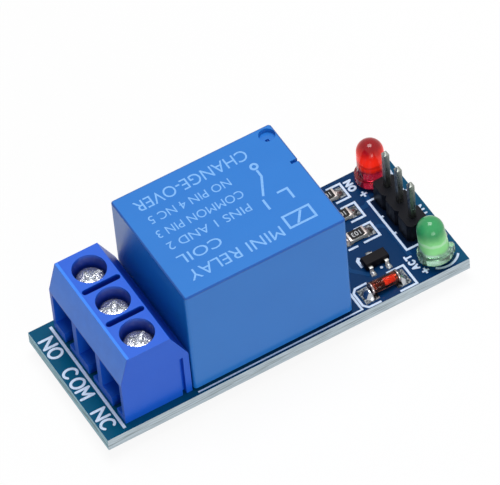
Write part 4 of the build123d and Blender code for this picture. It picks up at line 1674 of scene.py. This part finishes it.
@dataclass
class ScrewTerminal:
    """The three-way screw terminal.

    Attributes:
        edge: Rounding of the housing's edges, in millimetres.
        head_radius: Radius of a screw's head, in millimetres.
        rim: Height of the head's straight side, in millimetres.
        dome: Height of its crown, in millimetres.
        shank_radius: Radius of the thread's crest, in millimetres.
        pitch: Distance between the thread's crests, in millimetres.
        thread_depth: Depth of the thread, in millimetres.
        slot: Width of the drive slot, in millimetres.
        slot_depth: Its depth, in millimetres.
        cross: Length of the cross's shorter slot, in millimetres.
        funnel: Radius below and above and depth of the drive's worn middle, in millimetres.
        turns: How far each screw's drive is turned, in degrees.
        bar: Length, width and depth of the sunk bar between two wells, in millimetres.
    """

    edge: float = 0.1
    head_radius: float = 1.55
    rim: float = 1.4
    dome: float = 0.4
    shank_radius: float = 1.2
    pitch: float = 0.5
    thread_depth: float = 0.17
    slot: float = 0.4
    slot_depth: float = 0.5
    cross: float = 2.0
    funnel: Place = (0.15, 0.72, 1.0)
    turns: Place = (14.0, -28.0, 38.0)
    bar: Place = (4.5, 0.72, 1.24)

    def build(self) -> None:
        """Make the housing, its screws, its cages and its strips."""
        housing = Piece("terminal_housing_skin", "terminal_housing")
        screws = [Extent.of(f"terminal_screw_{number}").middle for number in (1, 2, 3)]
        for one, other in zip(screws, screws[1:]):
            self.sink_bar(housing, (one + other) / 2)
        housing.soften(self.edge, steps=3)
        housing.placed(TERMINAL_PLASTIC, replaces=["terminal_housing"])
        for number in (1, 2, 3):
            self.screw(number)
        Softened(CAGE_ZINC, {f"terminal_cage_{n}": f"cage_{n}" for n in (1, 2, 3)}, 0.06).build()
        Softened(TIN, on_module(*(f"terminal_contact_{n}" for n in (1, 2, 3))), 0.05).build()

    def sink_bar(self, housing: Piece, middle: Vector) -> None:
        """Widen the sunk bar between two wells.

        Args:
            housing: The housing to cut.
            middle: The bar's middle, along and across.
        """
        length, width, depth = self.bar
        roof = Extent.of("terminal_housing").high.z
        straight = (length - width, width, 2 * depth)
        housing.combined(Piece("cut").block((middle.x, middle.y, roof), straight), Joining.CUT)
        for end in (-straight[0] / 2, straight[0] / 2):
            foot = (middle.x + end, middle.y, roof - depth)
            housing.combined(Piece("cut").stud(foot, width / 2, 2 * depth), Joining.CUT)

    def screw(self, number: int) -> None:
        """Make one clamp screw, by its number, with its thread and drive."""
        extent = Extent.of(f"terminal_screw_{number}")
        axis = Matrix.Translation((extent.middle.x, extent.middle.y, 0))
        screw = Piece(f"clamp_screw_{number}").turned(self.screw_outline(extent), axis)
        self.cut_drive(screw, extent, self.turns[number - 1])
        screw.placed(SCREW_ZINC, f"screw_{number}", replaces=[f"terminal_screw_{number}"], crease=38.0)

    def screw_outline(self, extent: Extent) -> list[Spot]:
        """Outline of a screw, from its crown down its thread.

        Args:
            extent: The screw's box.

        Returns:
            Radius and height of each point.
        """
        top = extent.high.z
        under = top - self.dome - self.rim
        root = self.shank_radius - self.thread_depth
        outline: list[Spot] = [(0.0, top)]
        for share in (0.3, 0.55, 0.75, 0.9):
            outline.append((self.head_radius * share, top - self.dome * share**2))
        outline += [
            (self.head_radius - 0.04, top - self.dome * 1.05),
            (self.head_radius, top - self.dome * 1.25),
            (self.head_radius, under + 0.08),
            (self.head_radius - 0.08, under),
            (root, under),
        ]
        level = under
        while level - self.pitch > extent.low.z + 0.25:
            outline += [
                (root, level - 0.12 * self.pitch),
                (self.shank_radius, level - 0.45 * self.pitch),
                (self.shank_radius, level - 0.6 * self.pitch),
                (root, level - 0.95 * self.pitch),
            ]
            level -= self.pitch
        outline += [(root, extent.low.z + 0.15), (self.shank_radius - 0.35, extent.low.z)]
        outline.append((0.0, extent.low.z))
        return outline

    def cut_drive(self, screw: Piece, extent: Extent, turn: float) -> None:
        """Cut the combined slot and cross into a screw's head.

        Args:
            screw: The screw.
            extent: Its box.
            turn: The drive's turn, in degrees.
        """
        x, y, _ = extent.middle
        top = extent.high.z
        height = self.slot_depth + 0.6
        middle = (x, y, top - self.slot_depth / 2 + 0.3)
        for size in ((2.2 * self.head_radius, self.slot), (self.slot * 0.9, self.cross)):
            screw.combined(Piece("drive").block(middle, (*size, height), turn), Joining.CUT)
        low, high, depth = self.funnel
        tool = Piece("drive").stud((x, y, top - depth), low, depth + 0.1, top_radius=high, steps=24)
        screw.combined(tool, Joining.CUT)


@dataclass
class Relay:
    """The sealed relay: its case, its print and its works.

    Attributes:
        edge: Rounding of the case's edges, in millimetres.
        line: Width of the diagram's lines, in millimetres.
        wire: Thickness of the winding's wire, in millimetres.
        wall: Thickness of the winding, in millimetres.
        vent: The vent recess's middle, along and across, in millimetres.
        vent_radius: Its radius, in millimetres.
        vent_depth: Its depth, in millimetres.
        pip: Middle of the small pit in its floor, along and across, in millimetres.
        pip_size: The pit's size, in millimetres.
        notch: Middle of the notch at the case's end, along and across, in millimetres.
        notch_size: The notch's size, in millimetres.
    """

    edge: float = 0.09
    line: float = 0.26
    wire: float = 0.16
    wall: float = 2.0
    vent: Spot = (7.0, 6.41)
    vent_radius: float = 0.88
    vent_depth: float = 0.55
    pip: Spot = (6.86, 6.1)
    pip_size: Place = (0.42, 0.42, 0.5)
    notch: Spot = (7.75, 1.8)
    notch_size: Place = (1.1, 0.42, 1.0)

    def build(self) -> None:
        """Make the case, the print and the works."""
        self.case()
        self.print_top()
        self.winding()
        Softened(BASE_PLASTIC, on_module("relay_base"), 0.08).build()
        Softened(SPOOL_PLASTIC, on_module("relay_bobbin"), 0.08).build()
        iron = {**on_module("relay_core", "relay_yoke"), "relay_armature": "armature"}
        Softened(IRON, iron, 0.06).build()
        fixed = ("relay_hinge_leaf", "relay_no_contact", "relay_nc_contact", "relay_com_terminal")
        Softened(BRONZE, {"relay_contact_blade": "armature", **on_module(*fixed)}, 0.03).build()
        Softened(PIN, on_module("relay_coil_pins"), 0.05).build()

    def case(self) -> None:
        """Cut the vent recess and the notch into the case, and round its edges."""
        case = Piece("relay_cover_skin", "relay_cover")
        top = Extent.of("relay_cover").high.z
        vent = Piece("cut").stud((*self.vent, top - self.vent_depth), self.vent_radius, 1.0, steps=48)
        pip = Piece("cut").block((*self.pip, top - self.vent_depth - 0.05), self.pip_size)
        notch = Piece("cut").block((*self.notch, top), self.notch_size)
        for tool in (vent, pip, notch):
            case.combined(tool, Joining.CUT)
        case.soften(self.edge, steps=3).placed(CASE_PLASTIC, replaces=["relay_cover"])

    def print_top(self) -> None:
        """Print a plain contact diagram and function words on the case."""
        cover = Extent.of("relay_cover")
        ink = Print("case_print", cover.high.z, CASE_INK, height=0.012)
        for text, middle, size, squeeze in (
            ("MINI RELAY", (-3.6, -5.42), 1.46, 1.04),
            ("COIL", (-6.6, -3.07), 1.3, 1.24),
            ("PINS 1 AND 2", (-4.2, -0.88), 1.08, 1.08),
            ("COMMON PIN 3", (-4.2, 1.1), 1.08, 0.93),
            ("NO PIN 4 NC 5", (-4.2, 3.18), 1.08, 0.95),
            ("CHANGE-OVER", (-2.7, 5.48), 1.5, 0.9),
        ):
            ink.word(text, middle, size, Heading.BACK, squeeze)
        self.diagram(ink)
        ink.placed()

    def diagram(self, ink: Print) -> None:
        """Print the signs for a coil and a change-over contact."""
        ink.stroke(self.line, (5.8, -5.7), (2.7, -5.7), (2.7, -4.0), (5.8, -4.0), closed=True)
        ink.stroke(self.line, (4.75, -4.15), (3.75, -5.55))
        ink.arc(self.line, (3.7, 3.45), 0.36, 0, 360)
        ink.stroke(self.line, (3.7, 2.9), (3.7, 1.9), (2.5, -0.5))
        ink.stroke(self.line, (2.2, -2.4), (2.2, -0.9))
        ink.stroke(self.line, (5.1, -2.4), (5.1, -0.9), (3.9, -0.9))

    def winding(self) -> None:
        """Wind the coil: one sleeve with the ripple of its outer turns."""
        extent = Extent.of("relay_coil")
        middle = extent.middle
        outer = extent.size.x / 2
        inner = outer - self.wall
        outline: list[Spot] = [(inner, extent.low.z), (outer - self.wire / 2, extent.low.z)]
        count = int(extent.size.z / self.wire)
        for turn in range(count):
            level = extent.low.z + turn * self.wire
            outline += [(outer, level + self.wire / 2), (outer - self.wire / 3, level + self.wire)]
        outline += [(outer - self.wire / 2, extent.high.z), (inner, extent.high.z)]
        axis = Matrix.Translation((middle.x, middle.y, 0))
        coil = Piece("relay_winding").turned(outline, axis, closed=True)
        coil.placed(COPPER_WIRE, replaces=["relay_coil"], crease=60.0)


@dataclass
class PinHeader:
    """The three-pin header.

    Attributes:
        body_edge: Rounding of the body's edges, in millimetres.
        pin_edge: Rounding of the pins' edges, in millimetres.
    """

    body_edge: float = 0.06
    pin_edge: float = 0.035

    def build(self) -> None:
        """Soften and dress the body and its pins."""
        Softened(HEADER_PLASTIC, on_module("header_body"), self.body_edge).build()
        Softened(PIN, on_module(*(f"header_pin_{n}" for n in (1, 2, 3))), self.pin_edge).build()


@dataclass
class Lamp:
    """A three-millimetre lamp: a moulded lens over two leads.

    Attributes:
        name: The lamp's name.
        finish: Its resin.
        seat: The middle of the lens's underside, in millimetres.
        lean: How far the lens leans along and across, for each millimetre up.
        nub: Where the moulding nub stands, from the lens's axis, or None.
        nub_radius: The nub's radius, in millimetres.
        nub_rise: How far it stands over the flange, in millimetres.
        nub_edge: Rounding of its edges, in millimetres.
        flange_radius: Radius of the flange, in millimetres.
        flange_height: Height of the flange, in millimetres.
        foot_radius: Radius of the lens above its flange, in millimetres.
        shoulder_radius: Radius where the dome starts, in millimetres.
        shoulder_height: Height where the dome starts, in millimetres.
        flat: Depth of the flange's flat, in millimetres.
        edge: Rounding of the flange, in millimetres.
    """

    name: str
    finish: Finish
    seat: Place
    lean: Spot
    nub: Spot | None = None
    nub_radius: float = 0.42
    nub_rise: float = 0.22
    nub_edge: float = 0.16
    flange_radius: float = 1.95
    flange_height: float = 0.9
    foot_radius: float = 1.62
    shoulder_radius: float = 1.5
    shoulder_height: float = 3.85
    flat: float = 0.35
    edge: float = 0.09

    def build(self) -> None:
        """Turn the lens, cut its flat, add its nub, and dress the leads."""
        lens = Piece(f"{self.name}_dome")
        lens.turned(self.outline(), Matrix.Identity(4), steps=64)
        reach = self.flange_radius - self.flat
        for vert in lens.bm.verts:
            if vert.co.z < self.flange_height + self.edge and vert.co.x > reach:
                vert.co.x = reach
        if self.nub is not None:
            height = self.flange_height + self.nub_rise
            nub = Piece("nub").stud((*self.nub, 0.02), self.nub_radius, height)
            lens.combined(nub.soften(self.nub_edge, 3), Joining.FUSE)
        axis = Vector((*self.lean, 1.0)).normalized()
        turn = Vector((0, 0, 1)).rotation_difference(axis).to_matrix().to_4x4()
        matrix = Matrix.Translation(self.seat) @ turn
        bmesh.ops.transform(lens.bm, matrix=matrix, verts=lens.bm.verts)
        lens.placed(self.finish, replaces=[f"{self.name}_lens"], crease=30.0)
        Softened(LEAD, on_module(f"{self.name}_anode", f"{self.name}_cathode"), 0.03).build()

    def outline(self) -> list[Spot]:
        """Outline of the lens, as radius and height from its seat."""
        points: list[Spot] = [
            (0.0, 0.0),
            (self.flange_radius - self.edge, 0.0),
            (self.flange_radius, self.edge),
            (self.flange_radius, self.flange_height - self.edge),
            (self.flange_radius - self.edge, self.flange_height),
            (self.foot_radius + self.edge, self.flange_height),
            (self.foot_radius, self.flange_height + self.edge),
        ]
        steps = 14
        shoulder = (0.0, self.shoulder_height)
        reach = (self.shoulder_radius, self.shoulder_radius)
        return points + [round_from(shoulder, reach, 90 * step / steps) for step in range(steps + 1)]


@dataclass
class ChipResistor:
    """A chip resistor: ceramic, glaze, number and end caps.

    Attributes:
        number: The resistor's number.
        code: The number printed on it.
        glaze: Length, width and thickness of its glaze, in millimetres.
        glaze_rise: How far the glaze's middle lies over the ceramic, in millimetres.
    """

    number: int
    code: str
    glaze: Place = (1.64, 1.14, 0.09)
    glaze_rise: float = 0.03

    def build(self) -> None:
        """Make the chip's glaze and number and dress its body and caps."""
        node = f"resistor_{self.number}"
        Softened(CERAMIC, on_module(node), 0.04).build()
        Softened(CAP, on_module(f"{node}_caps"), 0.02).build()
        chip = Extent.of(node)
        middle = (chip.middle.x, chip.middle.y)
        level = chip.high.z + self.glaze_rise
        glaze = Piece(f"{node}_glaze").block((*middle, level), self.glaze)
        glaze.soften(0.015).placed(GLAZE)
        ink = Print(f"{node}_number", level + self.glaze[2] / 2, CHIP_INK, height=0.012)
        ink.word(self.code, middle, 0.6, Heading.BACK)
        ink.placed()


@dataclass
class Transistor:
    """The three-legged transistor.

    Attributes:
        edge: Rounding of its body, in millimetres.
    """

    edge: float = 0.06

    def build(self) -> None:
        """Soften and dress the body and its legs."""
        Softened(EPOXY, on_module("transistor_body"), self.edge).build()
        Softened(LEG_TIN, on_module("transistor_leads"), 0.02).build()


@dataclass
class Diode:
    """The glass diode.

    Attributes:
        bore: Radius of the glass's bore, in millimetres.
        lap: How far the glass stops short of the rings, in millimetres.
        waist: How much the glass draws in at its middle, in millimetres.
        cap_edge: Rounding of the caps, in millimetres.
        neck: How far a cap's neck lies under its ring, in millimetres.
        neck_length: Length of the neck, in millimetres.
    """

    bore: float = 0.5
    lap: float = 0.04
    waist: float = 0.03
    cap_edge: float = 0.14
    neck: float = 0.27
    neck_length: float = 0.32

    def build(self) -> None:
        """Turn the glass and the caps about the diode's own axis."""
        glass = Extent.of("diode_glass")
        radius = glass.size.z / 2
        half = glass.size.x / 2
        over = half + self.neck_length - self.lap
        lying = Matrix.Translation(glass.middle) @ Matrix.Rotation(math.pi / 2, 4, "Y")
        outline: list[Spot] = [(self.bore, -over), (radius - 0.06, -over), (radius, -over + 0.08)]
        outline += [(radius - self.waist, -half * 0.4), (radius - self.waist, half * 0.4)]
        outline += [(radius, over - 0.08), (radius - 0.06, over), (self.bore, over)]
        sleeve = Piece("diode_sleeve").turned(outline, lying, closed=True)
        sleeve.placed(DIODE_GLASS, replaces=["diode_glass"], crease=50.0)
        self.caps(half, lying)
        Softened(DIODE_ROD, on_module("diode_die"), 0.02).build()

    def caps(self, half: float, lying: Matrix) -> None:
        """Turn the two caps, each with a neck in the glass and a ring outside it.

        Args:
            half: Half the length of the glass.
            lying: Puts the diode's axis in its place.
        """
        extent = Extent.of("diode_caps")
        rim = extent.size.z / 2
        end = extent.size.x / 2
        neck = rim - self.neck
        ring = half + self.neck_length
        outline: list[Spot] = [
            (0.0, half),
            (neck, half),
            (neck, ring),
            (rim - 0.03, ring + 0.03),
            (rim, ring + 0.09),
            (rim, end - 0.09),
            (rim - 0.05, end - 0.02),
            (rim - self.cap_edge, end),
            (rim - self.cap_edge - 0.05, end - 0.05),
            (0.0, end - 0.05),
        ]
        pair = Piece("diode_ends")
        for side in (-1, 1):
            pair.turned([(radius, side * place) for radius, place in outline], lying)
        pair.placed(RING, replaces=["diode_caps"], crease=50.0)


@dataclass
class Silkscreen:
    """The white print on the board: outlines, plus signs and function words.

    Attributes:
        thin: Width of an outline, in millimetres.
        bold: Width of a plus sign's strokes, in millimetres.
        plus: Size of a plus sign, in millimetres.
        heavy: Width of the line beside the clamps' names, in millimetres.
        hair: Width of the line along the relay's front, in millimetres.
        bracket: Width of the mark at the transistor's end, in millimetres.
        names_x: Where the clamps' names lie along the board, in millimetres.
        names_size: Height and stroke width of those names, in millimetres.
    """

    thin: float = 0.26
    bold: float = 0.22
    plus: float = 0.8
    heavy: float = 0.34
    hair: float = 0.18
    bracket: float = 0.36
    names_x: float = -20.93
    names_size: Spot = (1.53, 0.3)

    def build(self) -> None:
        """Print everything on the board's top face."""
        ink = Print("silkscreen", Extent.of("pcb").high.z, SILK, height=0.022)
        ink.stroke(self.heavy, (-19.66, 7.86), (-19.66, -8.0))
        for text, y in (("NO", 5.3), ("COM", -0.24), ("NC", -5.83)):
            ink.drawn(text, (self.names_x, y), *self.names_size, Heading.DOWN)
        ink.stroke(self.hair, (-10.94, -8.14), (8.85, -8.14))
        ink.stroke(self.thin, (8.98, -8.23), (8.98, 8.12), (-10.94, 8.12))
        self.header_frame(ink)
        self.lamp_marks(ink)
        self.chip_frames(ink)
        self.diode_frame(ink)
        ink.placed()

    def header_frame(self, ink: Print) -> None:
        """Print the header's outline and its pins' ticks."""
        ink.stroke(self.thin, (20.8, 4.05), (17.07, 4.05), (17.07, -3.87), (20.8, -3.87))
        for y in (1.43, -1.22):
            ink.stroke(self.thin, (17.07 + self.thin / 2, y), (17.42, y))
        ink.plus((21.07, 3.15), self.plus, self.bold)
        ink.drawn("IN", (21.1, -0.2), 0.8, 0.23, Heading.ACROSS)

    def lamp_marks(self, ink: Print) -> None:
        """Print the arcs, plus signs and words beside the lamps."""
        ink.arc(self.thin, (19.65, -5.95), 2.15, -128, 92)
        ink.arc(self.thin, LAMP_SPOTS["power_led"], 2.12, -52, 104)
        ink.plus((17.22, 5.17), self.plus, self.bold)
        ink.plus((17.28, -7.33), self.plus, self.bold)
        ink.drawn("ON", (16.6, 6.95), 0.74, 0.25, Heading.ACROSS)
        ink.drawn("ACT", (16.62, -5.62), 0.66, 0.22, Heading.ACROSS)

    def chip_frames(self, ink: Print) -> None:
        """Print a frame round each chip resistor and beside the transistor."""
        for high, low in ((7.83, 5.68), (4.77, 2.57)):
            ink.stroke(self.thin, (14.1, high), (15.8, high), (15.8, low), (14.1, low))
            ink.stroke(self.thin, (13.0, high), (11.2, high), (11.2, low), (13.0, low))
        ink.stroke(self.thin, (13.8, -0.55), (15.8, -0.55), (15.8, 1.54), (13.8, 1.54))
        ink.stroke(self.thin, (13.07, -0.57), (11.9, -0.57))
        ink.stroke(self.bracket, (12.25, -2.0), (11.92, -2.35), (11.92, -3.35))
        ink.dot((13.62, -4.41), 0.17)

    def diode_frame(self, ink: Print) -> None:
        """Print the diode's frame, with cut corners at its banded end."""
        banded = [(11.2, -5.36), (9.75, -5.38), (9.3, -5.85), (9.3, -7.75), (9.75, -8.28)]
        ink.stroke(self.thin, *banded, (11.25, -8.3))
        ink.stroke(self.thin, (13.64, -5.38), (15.66, -5.42), (15.66, -8.28), (13.6, -8.28))


@dataclass
class Studio:
    """Floor, light and camera.

    Attributes:
        azimuth: The camera's turn about the object, in degrees.
        elevation: Its height above the floor, in degrees.
        roll: Its roll, in degrees.
        distance: Its distance from its target, in metres.
        target: What it looks at, in metres.
        focal: Focal length, in millimetres on a sensor 36 mm wide.
        ambient: Strength of the plain light from all round.
        key: Place, in metres, and power, in watts, of the lamp overhead.
        front: The same of the lamp in front.
        lamp_side: Side of both lamps, in metres.
        floor_reach: Half the floor's side, in metres.
        floor_colour: Colour of the floor for the light that falls on the object.
        floor_seen: Colour of the floor as the camera sees it.
        floor_white: How much of the seen floor is plain white.
    """

    azimuth: float = -26.095
    elevation: float = 50.849
    roll: float = -5.643
    distance: float = 0.610744
    target: Place = (0.002493, 0.003659, 0.0065)
    focal: float = 417.87
    ambient: float = 0.24
    key: tuple[Place, float] = ((0.05, 0.08, 0.59), 2.75)
    front: tuple[Place, float] = ((-0.05, -0.55, 0.1), 1.56)
    lamp_side: float = 0.3
    floor_reach: float = 2.0
    floor_colour: Colour = (188, 188, 188)
    floor_seen: Colour = (248, 248, 248)
    floor_white: float = 0.92

    def build(self) -> None:
        """Set up the view, the floor, the light and the camera."""
        bpy.context.scene.view_settings.view_transform = "Standard"
        self.floor()
        self.world()
        self.lamp("key_light", *self.key)
        self.lamp("front_light", *self.front)
        self.camera()

    def floor(self) -> None:
        """Lay a pale floor that keeps a soft shadow and looks white to the camera."""
        bm = bmesh.new()
        bmesh.ops.create_grid(bm, x_segments=1, y_segments=1, size=self.floor_reach)
        ground = linked("floor", written("floor", bm))
        material = bpy.data.materials.new("pale floor")
        graph = Graph(material)
        seen = self.seen(graph)
        pale = graph.tint(seen, self.floor_colour, self.floor_seen)
        matt = graph.add("ShaderNodeBsdfDiffuse", None, {"Color": pale})
        glow = graph.add("ShaderNodeEmission", None, {"Color": linear(WHITE), "Strength": 1.0})
        mixed = graph.add("ShaderNodeMixShader", None, {0: seen * self.floor_white, 1: matt, 2: glow})
        graph.add("ShaderNodeOutputMaterial", None, {"Surface": mixed})
        ground.data.materials.append(material)

    def seen(self, graph: Graph) -> Value:
        """1 for the camera's rays and for those that mirrors and glass send on, else 0."""
        rays = ("Is Camera Ray", "Is Glossy Ray", "Is Transmission Ray")
        direct, glossy, through = (graph.add("ShaderNodeLightPath", take=ray) for ray in rays)
        return direct.either(glossy).either(through)

    def world(self) -> None:
        """Light the object evenly, and show white behind it."""
        world = bpy.data.worlds.new("studio")
        bpy.context.scene.world = world
        graph = Graph(world)
        levels = {"Value": self.seen(graph), "To Min": self.ambient, "To Max": 1.0}
        strength = graph.add("ShaderNodeMapRange", None, levels)
        white = {"Color": linear(WHITE), "Strength": strength}
        back = graph.add("ShaderNodeBackground", None, white)
        graph.add("ShaderNodeOutputWorld", None, {"Surface": back})

    def lamp(self, name: str, place: Place, power: float) -> None:
        """Hang a soft square lamp that faces the object.

        Args:
            name: The lamp's name.
            place: Where it hangs, in metres.
            power: Its power, in watts.
        """
        light = bpy.data.lights.new(name, "AREA")
        light.size = self.lamp_side
        light.energy = power
        holder = linked(name, light)
        holder.location = place
        aim = Vector(self.target) - Vector(place)
        holder.rotation_euler = aim.to_track_quat("-Z", "Y").to_euler()

    def camera(self) -> None:
        """Place the camera at the photograph's viewing angle."""
        turn, rise, roll = (math.radians(v) for v in (self.azimuth, self.elevation, self.roll))
        back = Vector(
            (math.sin(turn) * math.cos(rise), -math.cos(turn) * math.cos(rise), math.sin(rise))
        )
        right = (-back).cross(Vector((0, 0, 1))).normalized()
        up = right.cross(-back)
        right_rolled = right * math.cos(roll) + up * math.sin(roll)
        up_rolled = up * math.cos(roll) - right * math.sin(roll)
        lens = bpy.data.cameras.new("camera")
        lens.sensor_fit = "HORIZONTAL"
        lens.sensor_width = 36.0
        lens.lens = self.focal
        holder = linked("camera", lens)
        spot = Vector(self.target) + back * self.distance
        columns = Matrix((right_rolled, up_rolled, back)).transposed()
        holder.matrix_world = Matrix.Translation(spot) @ columns.to_4x4()
        bpy.context.scene.camera = holder


def main() -> None:
    """Build every sub-assembly and the studio."""
    logging.basicConfig(level=logging.INFO, format="%(name)s: %(message)s")
    Studio().build()
    Board().build()
    SolderWork().build()
    ScrewTerminal().build()
    Relay().build()
    PinHeader().build()
    red, green = LAMP_SPOTS["power_led"], LAMP_SPOTS["switch_led"]
    Lamp("power_led", RED_RESIN, (*red, 3.445), lean=(0.02, 0.10)).build()
    Lamp(
        "switch_led",
        GREEN_RESIN,
        (*green, 3.6205),
        lean=(-0.03, 0.19),
        nub=(1.55, -0.75),
        shoulder_height=3.6,
    ).build()
    for number, code in ((1, "102"), (2, "102"), (3, "103")):
        ChipResistor(number, code).build()
    Transistor().build()
    Diode().build()
    Silkscreen().build()


def plain(box: Iterable[Iterable[float]]) -> list[list[float]]:
    """Turn a box into plain lists of numbers."""
    return [[float(value) for value in corner] for corner in box]


if __name__ == "__main__":
    main()
